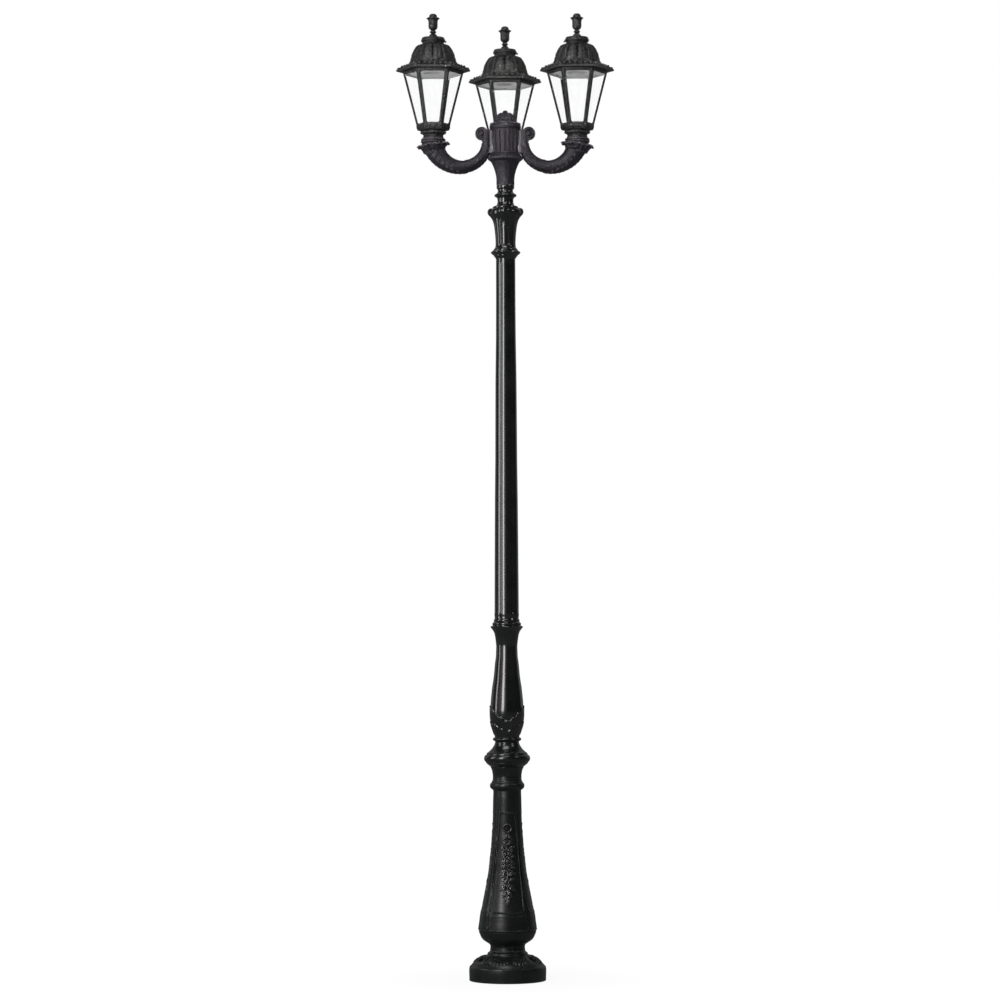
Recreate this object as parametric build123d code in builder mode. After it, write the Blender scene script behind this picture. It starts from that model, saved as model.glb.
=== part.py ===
from build123d import *
from math import cos, sin, radians, sqrt, hypot, atan2, degrees, pi
import os

# Triple head lamp post. Millimetres, +Z up, origin at the centre of the
# foot's underside. Two arms leave the hub along -X and +X, the third along +Y.

# ---------------------------------------------------------------- dimensions
FOOT_R = 133.0            # radius of the round foot
FOOT_H = 103.0            # foot casting, ground to pedestal seat
ANCHOR_PCD = 200.0        # pitch circle of the anchor holes
ANCHOR_R = 6.5            # anchor hole radius, for M12 studs
ANCHOR_SEAT_R = 15.0      # spot face for nut and washer
ANCHOR_SEAT_Z = 40.0
CABLE_R = 40.0            # cable entry under the foot
CABLE_BORE = 45.0         # its length, below the nut recess
PEDESTAL_TOP = 702.0
KNOP_TOP = 845.0
BALUSTER_TOP = 1260.0
SHAFT_TOP = 2518.0
SHAFT_R_LOW = 42.2
SHAFT_R_TOP = 33.8
FLUTES = 6                # shallow round-ended flutes on the shaft
FLUTE_CUT_R = 16.0
FLUTE_DEPTH = 2.2
CAPITAL_TOP = 2714.0
SPIGOT_SEAT = 2777.0      # collar under the hub
HUB_LOW = 2779.0
HUB_WEB = 2862.0          # inside web that the top nut clamps
DRUM_LOW = 2889.0
DRUM_R = 47.5
DRUM_TOP = 2975.0
DRUM_FLUTES = 16
TIE_R = 13.45             # steel tie tube, outside
TIE_BORE_R = 10.85
TIE_HOLE_R = 14.2
ARM_REACH = 253.0         # post axis to lantern axis
ARM_CENTRE_X = 147.4      # centre of the arm's U
ARM_CENTRE_Z = 2933.0
CUP_TOP = 2943.5          # top of the arm's cup, where a lantern stands
CAGE_LOW = 2993.0         # top of the gallery, bottom of the cage
CAGE_TOP = 3181.0
CAGE_R_LOW = 59.7         # corner radius of the six-sided cage
CAGE_R_TOP = 107.6
CAGE_WALL = 3.5
PANE_T = 3.0
EAVE_R = 130.0            # corner radius of the eaves
ROOF_SCREW_R = 79.0       # roof screws from the lantern axis
NECK_R = 35.0             # round neck on the roof, under the cap
NECK_BORE_R = 32.0
NECK_TOP = 3292.0
CAP_R = 42.0
CAP_TOP = 3304.0
E27_R = 13.2              # screw shell of the lamp holder
E27_MOUTH = 3001.0
DOOR_Z_LOW = 264.0        # service opening in the rear panel
DOOR_Z_TOP = 388.0
DOOR_HALF_W = 30.0
DOOR_GAP = 0.6
LOCK_Z = 362.0
PANEL_Z_LOW = 246.0       # framed panels on the pedestal
PANEL_Z_TOP = 586.0
PANEL_HALF_LOW = 56.0
PANEL_HALF_TOP = 24.0
PANEL_DEPTH = 1.5

os.makedirs("parts", exist_ok=True)


def finish(builder, name):
    """Label one finished piece and write it."""
    builder.part.label = name
    export_step(builder.part, "parts/" + name + ".step")


def at(profile, z):
    """Radius of a (r, z) profile at height z."""
    for (r0, z0), (r1, z1) in zip(profile, profile[1:]):
        if z0 <= z <= z1 and z1 > z0:
            return r0 + (r1 - r0) * (z - z0) / (z1 - z0)
    return profile[-1][0]


# ------------------------------------------------------------- foot casting
foot_outer = [(FOOT_R, 0), (FOOT_R, 8), (131.5, 47), (126, 54), (122, 61), (120, 68),
              (113, 75), (102.5, 82), (74, 89), (68, 96), (61.6, FOOT_H)]
with BuildPart() as foot_casting:
    with BuildSketch(Plane.XZ):
        with BuildLine():
            Polyline([(CABLE_R, 0)] + foot_outer + [(51.6, FOOT_H), (51.6, 115), (46, 115), (46, 88),
                      (TIE_HOLE_R, 88), (TIE_HOLE_R, 70), (44, 70), (44, CABLE_BORE), (CABLE_R, CABLE_BORE)],
                     close=True)
        make_face()
    revolve(axis=Axis.Z)
    # three anchor holes with spot faces, one of them at the back
    with PolarLocations(ANCHOR_PCD / 2, 3, start_angle=90):
        Cylinder(ANCHOR_R, 60, align=(Align.CENTER, Align.CENTER, Align.MIN), mode=Mode.SUBTRACT)
    with Locations((0, 0, ANCHOR_SEAT_Z)):
        with PolarLocations(ANCHOR_PCD / 2, 3, start_angle=90):
            Cylinder(ANCHOR_SEAT_R, 60, align=(Align.CENTER, Align.CENTER, Align.MIN), mode=Mode.SUBTRACT)
    # two cable passages beside the tie tube
    with Locations((0, 0, 60)):
        with PolarLocations(28, 2, start_angle=0):
            Cylinder(8, 40, align=(Align.CENTER, Align.CENTER, Align.MIN), mode=Mode.SUBTRACT)
finish(foot_casting, "foot_casting")

# ----------------------------------------------------------------- pedestal
ped_outer = [(61.6, FOOT_H), (62, 124), (70.5, 131), (81.4, 138), (88.9, 145), (93.5, 152), (97.1, 159),
             (100.6, 166), (101.3, 173), (101.3, 180), (100.1, 194), (98.2, 208), (96.6, 222), (94.3, 236),
             (91, 250), (87.7, 264), (84.7, 278), (78, 313), (71.2, 348), (65.6, 383), (61.8, 418),
             (57.2, 453), (55.1, 488), (52.3, 523), (51.1, 558), (49.9, 593), (49.2, 628), (48.8, 656),
             (52, 663), (58, 670), (59.7, 677), (58, 684), (53.5, 691), (51, 698), (50.4, PEDESTAL_TOP)]
ped_inner = [(52, FOOT_H), (52, 136), (62, 141), (76, 149), (86, 158), (92, 168), (93.5, 180), (91, 212),
             (84, 250), (77, 283), (70, 318), (63.5, 350), (58, 384), (53.5, 420), (49.5, 455), (47, 490),
             (44, 540), (42, 600), (41, 655)]


def panel_wedge(outer, depth_out, depth_in):
    """Skin between two depths under the outer profile, over the panels' height."""
    zs = [PANEL_Z_LOW - 20 + i * (PANEL_Z_TOP - PANEL_Z_LOW + 40) / 24 for i in range(25)]
    a = [(at(outer, z) - depth_out, z) for z in zs]
    b = [(at(outer, z) - depth_in, z) for z in reversed(zs)]
    return a + b


with BuildPart() as panel_cutter:
    with BuildSketch(Plane.XZ):
        with BuildLine():
            Polyline(panel_wedge(ped_outer, -6, PANEL_DEPTH), close=True)
        make_face()
    revolve(axis=Axis.Z)
    # trapezium with clipped lower corners, seen along Y, both sides of the axis
    with BuildSketch(Plane.XZ):
        with BuildLine():
            Polyline((-PANEL_HALF_LOW + 7, PANEL_Z_LOW), (PANEL_HALF_LOW - 7, PANEL_Z_LOW),
                     (PANEL_HALF_LOW - 1, PANEL_Z_LOW + 11), (PANEL_HALF_TOP, PANEL_Z_TOP - 8),
                     (PANEL_HALF_TOP - 6, PANEL_Z_TOP), (-PANEL_HALF_TOP + 6, PANEL_Z_TOP),
                     (-PANEL_HALF_TOP, PANEL_Z_TOP - 8), (-PANEL_HALF_LOW + 1, PANEL_Z_LOW + 11), close=True)
        make_face()
    extrude(amount=200, both=True, mode=Mode.INTERSECT)

with BuildPart() as pedestal:
    with BuildSketch(Plane.XZ):
        with BuildLine():
            Polyline(ped_outer + [(35.8, PEDESTAL_TOP), (35.8, 712), (32, 712), (32, 702), (TIE_HOLE_R, 702),
                      (TIE_HOLE_R, 660), (41, 660)] + list(reversed(ped_inner)), close=True)
        make_face()
    revolve(axis=Axis.Z)
    add(panel_cutter.part, mode=Mode.SUBTRACT)
    add(panel_cutter.part, rotation=(0, 0, 90), mode=Mode.SUBTRACT)
    # service opening at the back
    with BuildSketch(Plane.XZ.offset(-20)):
        with Locations((0, (DOOR_Z_LOW + DOOR_Z_TOP) / 2)):
            RectangleRounded(2 * DOOR_HALF_W, DOOR_Z_TOP - DOOR_Z_LOW, 6)
    extrude(amount=-120, mode=Mode.SUBTRACT)
finish(pedestal, "pedestal")

# --------------------------------------------------- service door and its lock
with BuildPart() as service_door:
    with BuildSketch(Plane.XZ):
        with BuildLine():
            Polyline(panel_wedge(ped_outer, PANEL_DEPTH, PANEL_DEPTH + 4.5), close=True)
        make_face()
    revolve(axis=Axis.Z)
    with BuildSketch(Plane.XZ.offset(-20)):
        with Locations((0, (DOOR_Z_LOW + DOOR_Z_TOP) / 2)):
            RectangleRounded(2 * (DOOR_HALF_W - DOOR_GAP), DOOR_Z_TOP - DOOR_Z_LOW - 2 * DOOR_GAP, 5.4)
    extrude(amount=-120, mode=Mode.INTERSECT)
    with Locations(Plane(origin=(0, 30, LOCK_Z), z_dir=(0, 1, 0))):
        Cylinder(8.08, 80, align=(Align.CENTER, Align.CENTER, Align.MIN), mode=Mode.SUBTRACT)
finish(service_door, "service_door")

lock_face_y = at(ped_outer, LOCK_Z) - PANEL_DEPTH + 1.2
with BuildPart() as door_lock:
    with Locations(Plane(origin=(0, 58, LOCK_Z), z_dir=(0, 1, 0))):
        Cylinder(8.0, lock_face_y - 58, align=(Align.CENTER, Align.CENTER, Align.MIN))
    with Locations(Plane(origin=(0, 48, LOCK_Z), z_dir=(0, 1, 0))):
        Cylinder(5.0, 12, align=(Align.CENTER, Align.CENTER, Align.MIN))
    # three-sided key end
    with BuildSketch(Plane(origin=(0, lock_face_y - 1, LOCK_Z), x_dir=(1, 0, 0), z_dir=(0, 1, 0))):
        RegularPolygon(5.0, 3)
    extrude(amount=4.5)
    # tongue, lying sideways while the lock is open
    with Locations((-12, 50, LOCK_Z)):
        Box(34, 3, 9)
finish(door_lock, "door_lock")

# --------------------------------------------- gear plate and terminal block
with BuildPart() as gear_plate:
    with BuildSketch(Plane.XY.offset(292)):
        Circle(19)
        with Locations((0, 16)):
            Rectangle(20, 8)
        Circle(TIE_R + 0.05, mode=Mode.SUBTRACT)
    extrude(amount=22)
    with Locations((0, 21.5, 325)):
        Box(46, 3, 124)
    with Locations(Plane(origin=(0, 10, 276), z_dir=(0, 1, 0))):
        Cylinder(3.1, 30, align=(Align.CENTER, Align.CENTER, Align.MIN), mode=Mode.SUBTRACT)
finish(gear_plate, "gear_plate")

with BuildPart() as terminal_block:
    with Locations((0, 31, 338)):
        Box(38, 16, 30)
    # wire funnels from below and screw wells at the back
    with Locations((0, 31, 323)):
        with GridLocations(11, 1, 3, 1):
            Cylinder(3.2, 12, mode=Mode.SUBTRACT)
    with BuildSketch(Plane.XZ.offset(-39)):
        with Locations((0, 338)):
            with GridLocations(11, 14, 3, 2):
                Circle(2.4)
    extrude(amount=9, mode=Mode.SUBTRACT)
finish(terminal_block, "terminal_block")

with BuildPart() as earth_stud:
    with Locations(Plane(origin=(0, 15.5, 276), z_dir=(0, 1, 0))):
        Cylinder(3.0, 20, align=(Align.CENTER, Align.CENTER, Align.MIN))
    with BuildSketch(Plane(origin=(0, 23.0, 276), x_dir=(1, 0, 0), z_dir=(0, 1, 0))):
        RegularPolygon(5.77, 6)
    extrude(amount=5)
    with BuildSketch(Plane(origin=(0, 20.0, 276), x_dir=(1, 0, 0), z_dir=(0, -1, 0))):
        RegularPolygon(5.77, 6)
    extrude(amount=4)
finish(earth_stud, "earth_stud")

# --------------------------------------------------------------------- knop
knop_outer = [(50.4, PEDESTAL_TOP), (50.4, 709), (52.3, 726), (56.5, 740), (63.9, 747), (71.2, 754),
              (76.6, 761), (80.3, 768), (80.3, 775), (77, 782), (71.6, 789), (62, 796), (54.8, 803),
              (49.5, 810), (45.3, 817), (43, 824), (45, 831), (49, 838), (43, KNOP_TOP)]
with BuildPart() as knop:
    with BuildSketch(Plane.XZ):
        with BuildLine():
            Polyline([(36, PEDESTAL_TOP)] + knop_outer + [(29.8, KNOP_TOP), (29.8, 857), (25, 857), (25, 820),
                      (36, 800)], close=True)
        make_face()
    revolve(axis=Axis.Z)
finish(knop, "knop")

# ----------------------------------------------------------------- baluster
bal_outer = [(43, KNOP_TOP), (43.6, 852), (45.2, 859), (48.8, 866), (50.9, 873), (53.9, 880), (57.6, 894),
             (60, 908), (61.4, 922), (61.8, 929), (61, 943), (60.7, 950), (57.4, 957), (56, 978), (53.9, 999),
             (51.5, 1020), (48.1, 1041), (45.3, 1062), (43.4, 1083), (41.3, 1104), (38.5, 1125), (37.6, 1146),
             (37.3, 1167), (38.9, 1181), (40.8, 1195), (44.1, 1209), (47.6, 1216), (52.7, 1223), (57, 1229),
             (57, 1231), (48.1, 1237), (46.7, 1244), (43.8, 1251), (42.4, 1258), (42.2, BALUSTER_TOP)]
with BuildPart() as baluster:
    with BuildSketch(Plane.XZ):
        with BuildLine():
            Polyline([(30, KNOP_TOP)] + bal_outer + [(36, BALUSTER_TOP), (36, 1272), (30, 1272)], close=True)
        make_face()
    revolve(axis=Axis.Z)
finish(baluster, "baluster")

# -------------------------------------------------------------------- shaft
shaft_outer = [(SHAFT_R_LOW, BALUSTER_TOP), (42.0, 1328), (40.8, 1538), (39.9, 1678), (38.2, 1818),
               (37.6, 1958), (36.8, 2098), (34.7, 2238), (34.0, 2378), (SHAFT_R_TOP, 2511), (SHAFT_R_TOP, SHAFT_TOP)]
FLUTE_LOW, FLUTE_TOP = 1284.0, 2500.0
with BuildPart() as shaft:
    with BuildSketch(Plane.XZ):
        with BuildLine():
            Polyline([(36.3, BALUSTER_TOP)] + shaft_outer + [(28.3, SHAFT_TOP)], close=True)
        make_face()
    revolve(axis=Axis.Z)
    # flutes: tapered runs of a round cutter with ball ends
    stations = [FLUTE_LOW, 1538, 1818, 2098, 2238, FLUTE_TOP]
    for k in range(FLUTES):
        a = radians(-60 + 60 * k)
        pts = []
        for z in stations:
            d = at(shaft_outer, z) + FLUTE_CUT_R - FLUTE_DEPTH
            pts.append(Vector(d * cos(a), d * sin(a), z))
        for p, q in zip(pts, pts[1:]):
            with Locations(Plane(origin=p, z_dir=(q - p))):
                Cylinder(FLUTE_CUT_R, (q - p).length, align=(Align.CENTER, Align.CENTER, Align.MIN), mode=Mode.SUBTRACT)
        with Locations(pts[0], pts[-1]):
            Sphere(FLUTE_CUT_R, mode=Mode.SUBTRACT)
finish(shaft, "shaft")

# ------------------------------------------------------------------ capital
cap_outer = [(SHAFT_R_TOP, SHAFT_TOP), (35.9, 2525), (40.6, 2532), (47.4, 2539), (49.2, 2546), (43.2, 2553),
             (38, 2560), (34.7, 2567), (35, 2588), (36, 2602), (37.3, 2616), (39.7, 2630), (42, 2644),
             (45.7, 2658), (49.2, 2665), (55.8, 2672), (62.5, 2679), (62.8, 2686), (60.6, 2693),
             (53.6, 2700), (44.6, 2707), (29.6, CAPITAL_TOP)]
with BuildPart() as capital:
    with BuildSketch(Plane.XZ):
        with BuildLine():
            Polyline([(28, SHAFT_TOP)] + cap_outer + [(TIE_HOLE_R, CAPITAL_TOP), (TIE_HOLE_R, 2690), (28, 2690)],
                     close=True)
        make_face()
    revolve(axis=Axis.Z)
finish(capital, "capital")

# ------------------------------------------------------------------- spigot
with BuildPart() as spigot:
    with BuildSketch(Plane.XZ):
        with BuildLine():
            Polyline((TIE_HOLE_R, CAPITAL_TOP), (29.4, CAPITAL_TOP), (28.5, 2721), (29.2, 2728), (32, 2735),
                     (39, 2742), (35.5, 2749), (25.6, 2756), (24.5, 2763), (28.7, 2770), (31.5, 2774),
                     (31.5, SPIGOT_SEAT), (22.0, SPIGOT_SEAT), (22.0, HUB_WEB), (TIE_HOLE_R, HUB_WEB), close=True)
        make_face()
    revolve(axis=Axis.Z)
finish(spigot, "spigot")

# --------------------------------------------------------- tie tube and nuts
with BuildPart() as tie_tube:
    with BuildSketch(Plane.XY.offset(50)):
        Circle(TIE_R)
        Circle(TIE_BORE_R, mode=Mode.SUBTRACT)
    extrude(amount=2892 - 50)
finish(tie_tube, "tie_tube")

with BuildPart() as tie_nuts:
    with BuildSketch(Plane.XY.offset(54)):
        RegularPolygon(23, 6)
        Circle(TIE_R + 0.05, mode=Mode.SUBTRACT)
    extrude(amount=13)
    with BuildSketch(Plane.XY.offset(67)):
        Circle(18)
        Circle(TIE_R + 0.05, mode=Mode.SUBTRACT)
    extrude(amount=3)
    with BuildSketch(Plane.XY.offset(HUB_WEB + 8)):
        Circle(26)
        Circle(TIE_R + 0.05, mode=Mode.SUBTRACT)
    extrude(amount=3)
    with BuildSketch(Plane.XY.offset(HUB_WEB + 11)):
        RegularPolygon(23, 6)
        Circle(TIE_R + 0.05, mode=Mode.SUBTRACT)
    extrude(amount=13)
finish(tie_nuts, "tie_nuts")

# ----------------------------------------------------------------- hub body
hub_outer = [(30.5, HUB_LOW), (31, 2784), (31.5, 2798), (33, 2812), (36.4, 2826), (40.4, 2839), (47, 2855),
             (52, 2864), (60, 2869), (61, 2875), (60, 2881), (50, 2886), (DRUM_R, DRUM_LOW), (DRUM_R, DRUM_TOP)]
arm_angles = (180, 0, 90)
with BuildPart() as hub_body:
    with BuildSketch(Plane.XZ):
        with BuildLine():
            Polyline([(22.2, HUB_LOW)] + hub_outer + [(38, DRUM_TOP), (38, HUB_WEB + 8), (TIE_HOLE_R, HUB_WEB + 8),
                      (TIE_HOLE_R, HUB_WEB), (22.2, HUB_WEB)], close=True)
        make_face()
    revolve(axis=Axis.Z)
    with Locations((0, 0, 2895)):
        with PolarLocations(DRUM_R + 0.2, DRUM_FLUTES, start_angle=0):
            Cylinder(2.2, 74, align=(Align.CENTER, Align.CENTER, Align.MIN), mode=Mode.SUBTRACT)
    for a in arm_angles:
        out = Vector(cos(radians(a)), sin(radians(a)), 0)
        for z, r in ((2905, 3.2), (ARM_CENTRE_Z, 7.0), (2960, 3.2)):
            with Locations(Plane(origin=out * 30 + Vector(0, 0, z), z_dir=out)):
                Cylinder(r, 25, align=(Align.CENTER, Align.CENTER, Align.MIN), mode=Mode.SUBTRACT)
    for a in (90, 210, 330):
        out = Vector(cos(radians(a)), sin(radians(a)), 0)
        with Locations(Plane(origin=out * 15 + Vector(0, 0, 2796), z_dir=out)):
            Cylinder(3.05, 30, align=(Align.CENTER, Align.CENTER, Align.MIN), mode=Mode.SUBTRACT)
finish(hub_body, "hub_body")

with BuildPart() as hub_screws:
    for a in (90, 210, 330):
        out = Vector(cos(radians(a)), sin(radians(a)), 0)
        with Locations(Plane(origin=out * 22.1 + Vector(0, 0, 2796), z_dir=out)):
            Cylinder(3.0, 8.2, align=(Align.CENTER, Align.CENTER, Align.MIN))
finish(hub_screws, "hub_screws")

# ------------------------------------------------------------------ hub cap
with BuildPart() as hub_cap:
    with BuildSketch(Plane.XZ):
        with BuildLine():
            Polyline((0, 2992), (33, 2992), (33, 2967), (37.6, 2967), (37.6, DRUM_TOP), (50, DRUM_TOP), (54.3, 2981),
                     (55.3, 2988.5), (54.3, 2996), (50.5, 3001), (46, 3003.5), (43.5, 3010), (38.5, 3018),
                     (32, 3026), (26, 3031), (21, 3033), (13, 3034), (8.4, 3036), (8.4, 3040), (6, 3042.6),
                     (0, 3043.5), close=True)
        make_face()
    revolve(axis=Axis.Z)
finish(hub_cap, "hub_cap")

# --------------------------------------------------------------------- arms
# Modelled once along +X and turned to its three places.
ARM_SECTIONS = [  # angle round the U's centre, distance from it, tube radius
    (180, 83.2, 18.5), (205, 84.0, 19.5), (230, 85.0, 21.0), (255, 86.8, 22.6),
    (280, 89.5, 25.0), (305, 93.5, 28.5), (328, 98.5, 33.0), (350, 103.5, 38.5)]
with BuildPart() as hub_clearance:
    with BuildSketch(Plane.XZ):
        with BuildLine():
            Polyline([(0, HUB_LOW - 5), (30.7, HUB_LOW - 5)] + [(r + 0.15, z) for r, z in hub_outer]
                     + [(DRUM_R + 0.15, DRUM_TOP + 20), (0, DRUM_TOP + 20)], close=True)
        make_face()
    revolve(axis=Axis.Z)

with BuildPart() as arm:
    # straight foot of the tube against the drum, then the widening U
    with BuildSketch(Plane.XY.offset(ARM_CENTRE_Z)):
        with Locations((ARM_CENTRE_X - 83.2, 0)):
            Circle(18.5)
    extrude(amount=39)
    for angle, dist, r in ARM_SECTIONS:
        a = radians(angle)
        spot = Vector(ARM_CENTRE_X + dist * cos(a), 0, ARM_CENTRE_Z + dist * sin(a))
        with BuildSketch(Plane(origin=spot, x_dir=(0, 1, 0), z_dir=(-sin(a), 0, cos(a)))):
            Circle(r)
    loft()
    # leaf collar and cup under the lantern
    with BuildSketch(Plane(origin=(ARM_REACH, 0, 0), x_dir=(1, 0, 0), z_dir=(0, -1, 0))):
        with BuildLine():
            Polyline((0, 2896), (30, 2898), (41, 2905), (49, 2911), (51, 2916), (48, 2921), (42, 2925),
                     (41, 2929.5), (43, 2931), (43, 2942), (41.5, CUP_TOP), (0, CUP_TOP), close=True)
        make_face()
    revolve(axis=Axis((ARM_REACH, 0, 0), (0, 0, 1)))
    # volute beside the drum
    with Locations(Plane(origin=(82.6, -15, 2962), z_dir=(0, 1, 0))):
        Cylinder(21, 30, align=(Align.CENTER, Align.CENTER, Align.MIN))
    with Locations(Plane(origin=(82.6, -17, 2962), z_dir=(0, 1, 0))):
        Cylinder(7, 34, align=(Align.CENTER, Align.CENTER, Align.MIN))
    # pad against the drum
    with Locations((54, 0, 2933)):
        Box(20, 26, 78)
    add(hub_clearance.part, mode=Mode.SUBTRACT)
    # wireway through the U, to the threaded hole for the lantern's nipple
    with BuildLine():
        mid = (63.4 + ARM_REACH) / 2
        rad = (ARM_REACH - 63.4) / 2
        ThreePointArc((63.4, 0, ARM_CENTRE_Z), (mid, 0, ARM_CENTRE_Z - rad),
                      (mid + rad * cos(radians(-5)), 0, ARM_CENTRE_Z + rad * sin(radians(-5))))
    with BuildSketch(Plane(origin=(63.4, 0, ARM_CENTRE_Z), x_dir=(1, 0, 0), z_dir=(0, 0, -1))):
        Circle(7)
    sweep(mode=Mode.SUBTRACT)
    with Locations(Plane(origin=(40, 0, ARM_CENTRE_Z), z_dir=(1, 0, 0))):
        Cylinder(7, 30, align=(Align.CENTER, Align.CENTER, Align.MIN), mode=Mode.SUBTRACT)
    with Locations((ARM_REACH, 0, 2918)):
        Cylinder(5.05, 40, align=(Align.CENTER, Align.CENTER, Align.MIN), mode=Mode.SUBTRACT)
    for z in (2905, 2960):
        with Locations(Plane(origin=(40, 0, z), z_dir=(1, 0, 0))):
            Cylinder(3.05, 20, align=(Align.CENTER, Align.CENTER, Align.MIN), mode=Mode.SUBTRACT)

for name, angle in zip(("left_arm", "right_arm", "rear_arm"), arm_angles):
    with BuildPart() as placed_arm:
        add(arm.part, rotation=(0, 0, angle))
    finish(placed_arm, name)

with BuildPart() as arm_screws:
    for a in arm_angles:
        out = Vector(cos(radians(a)), sin(radians(a)), 0)
        for z in (2905, 2960):
            with Locations(Plane(origin=out * 32.5 + Vector(0, 0, z), z_dir=out)):
                Cylinder(5.0, 5.0, align=(Align.CENTER, Align.CENTER, Align.MIN))
                Cylinder(3.0, 26, align=(Align.CENTER, Align.CENTER, Align.MIN))
finish(arm_screws, "arm_screws")

# ------------------------------------------------------------ one lantern
# Modelled once on its own axis; corners lie on +X and -X, flats face +Y and -Y.
C30 = cos(radians(30))


def corner_r(z):
    """Outer corner radius of the cage at height z."""
    return CAGE_R_LOW + (CAGE_R_TOP - CAGE_R_LOW) * (z - CAGE_LOW) / (CAGE_TOP - CAGE_LOW)


TILT = atan2((CAGE_R_TOP - CAGE_R_LOW) * C30, CAGE_TOP - CAGE_LOW)   # face slope
SKIN = CAGE_WALL / cos(TILT) / C30                                    # wall at a corner


def face_plane(k, z, inset):
    """Plane on the outer face k of the cage at height z, moved in by inset."""
    az = radians(30 + 60 * k)
    u = Vector(cos(az), sin(az), 0)
    t = Vector(-sin(az), cos(az), 0)
    n = u * cos(TILT) - Vector(0, 0, 1) * sin(TILT)
    spot = u * (corner_r(z) * C30) + Vector(0, 0, z) - n * inset
    return Plane(origin=spot, x_dir=t, z_dir=n)


with BuildPart() as gallery:
    with BuildSketch(Plane.XZ):
        with BuildLine():
            Polyline((5.2, CUP_TOP), (36.4, CUP_TOP), (36.4, 2961), (44.8, 2961), (44.8, 2972.5), (24, 2972.5),
                     (24, 2949), (5.2, 2949), close=True)
        make_face()
    revolve(axis=Axis.Z)
    with BuildSketch(Plane.XY.offset(2972)):
        RegularPolygon(55.5, 6)
    with BuildSketch(Plane.XY.offset(2979)):
        RegularPolygon(58.5, 6)
    loft(ruled=True)
    with BuildSketch(Plane.XY.offset(2979)):
        RegularPolygon(58.5, 6)
    with BuildSketch(Plane.XY.offset(CAGE_LOW)):
        RegularPolygon(CAGE_R_LOW, 6)
    loft(ruled=True)
    with Locations((0, 0, 2960)):
        Cylinder(24, 50, align=(Align.CENTER, Align.CENTER, Align.MIN), mode=Mode.SUBTRACT)

with BuildPart() as nipple:
    with BuildSketch(Plane.XY.offset(2921)):
        Circle(5.0)
        Circle(3.2, mode=Mode.SUBTRACT)
    extrude(amount=38)

with BuildPart() as nipple_nut:
    with BuildSketch(Plane.XY.offset(2949)):
        RegularPolygon(8.0, 6)
        Circle(5.03, mode=Mode.SUBTRACT)
    extrude(amount=4)

with BuildPart() as lamp_holder:
    with BuildSketch(Plane.XZ):
        with BuildLine():
            Polyline((5.03, 2953), (17, 2953), (20.5, 2958), (20.5, 2999), (19.5, 3003), (14.2, 3003),
                     (14.2, 2966), (5.03, 2966), close=True)
        make_face()
    revolve(axis=Axis.Z)

with BuildPart() as screw_shell:
    with BuildSketch(Plane.XY.offset(E27_MOUTH - 26)):
        Circle(14.1)
        Circle(E27_R, mode=Mode.SUBTRACT)
    extrude(amount=26)
    with BuildSketch(Plane.XY.offset(2966)):
        Circle(8)
    extrude(amount=1.2)
    with BuildSketch(Plane.XY.offset(2967)):
        Circle(3.5)
    extrude(amount=4)

with BuildPart() as cage:
    for z in (CAGE_LOW, CAGE_TOP):
        with BuildSketch(Plane.XY.offset(z)):
            RegularPolygon(corner_r(z), 6)
    loft(ruled=True)
    for z in (CAGE_LOW - 1, CAGE_TOP - 3):
        with BuildSketch(Plane.XY.offset(z)):
            RegularPolygon(corner_r(z) - SKIN, 6)
    loft(ruled=True, mode=Mode.SUBTRACT)
    # flange under the roof, with its screw holes
    with BuildSketch(Plane.XY.offset(CAGE_TOP - 3)):
        RegularPolygon(86, 6)
        with PolarLocations(ROOF_SCREW_R, 3, start_angle=90):
            Circle(2.2)
    extrude(amount=3, mode=Mode.SUBTRACT)
    # window in each face, narrower at the foot, corners rounded
    face_len = (CAGE_TOP - CAGE_LOW) / cos(TILT)
    for k in range(6):
        with BuildSketch(face_plane(k, CAGE_LOW, -5)):
            with BuildLine():
                y0, y1 = 3.0, face_len - 11.0
                h0 = corner_r(CAGE_LOW) / 2 - 9.0
                h1 = corner_r(CAGE_TOP - 11) / 2 - 10.5
                Polyline((-h0, y0), (h0, y0), (h1, y1), (-h1, y1), close=True)
            make_face()
            fillet(vertices().group_by(Axis.Z)[-1], 7)
            fillet(vertices().group_by(Axis.Z)[0], 3)
        extrude(amount=-12, mode=Mode.SUBTRACT)

with BuildPart() as panes:
    for k in range(6):
        plane = face_plane(k, CAGE_LOW, CAGE_WALL + 0.1 + PANE_T)
        with BuildSketch(plane):
            with BuildLine():
                y0, y1 = 1.5, (3172.5 - CAGE_LOW) / cos(TILT)
                lo = (corner_r(CAGE_LOW) - SKIN) / 2 - 2.4
                hi = (corner_r(3172.5) - SKIN) / 2 - 2.4
                Polyline((-lo, y0), (lo, y0), (hi, y1), (-hi, y1), close=True)
            make_face()
        extrude(amount=PANE_T)

with BuildPart() as reflector:
    with BuildSketch(Plane.XY.offset(3175)):
        RegularPolygon(99.5, 6)
        Circle(34, mode=Mode.SUBTRACT)
        with PolarLocations(ROOF_SCREW_R, 3, start_angle=90):
            Circle(2.2, mode=Mode.SUBTRACT)
    extrude(amount=2.8)
    # rolled collar round the relamping hole
    with BuildSketch(Plane.XY.offset(3177.8)):
        Circle(35.8)
        Circle(34, mode=Mode.SUBTRACT)
    extrude(amount=12.2)

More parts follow.
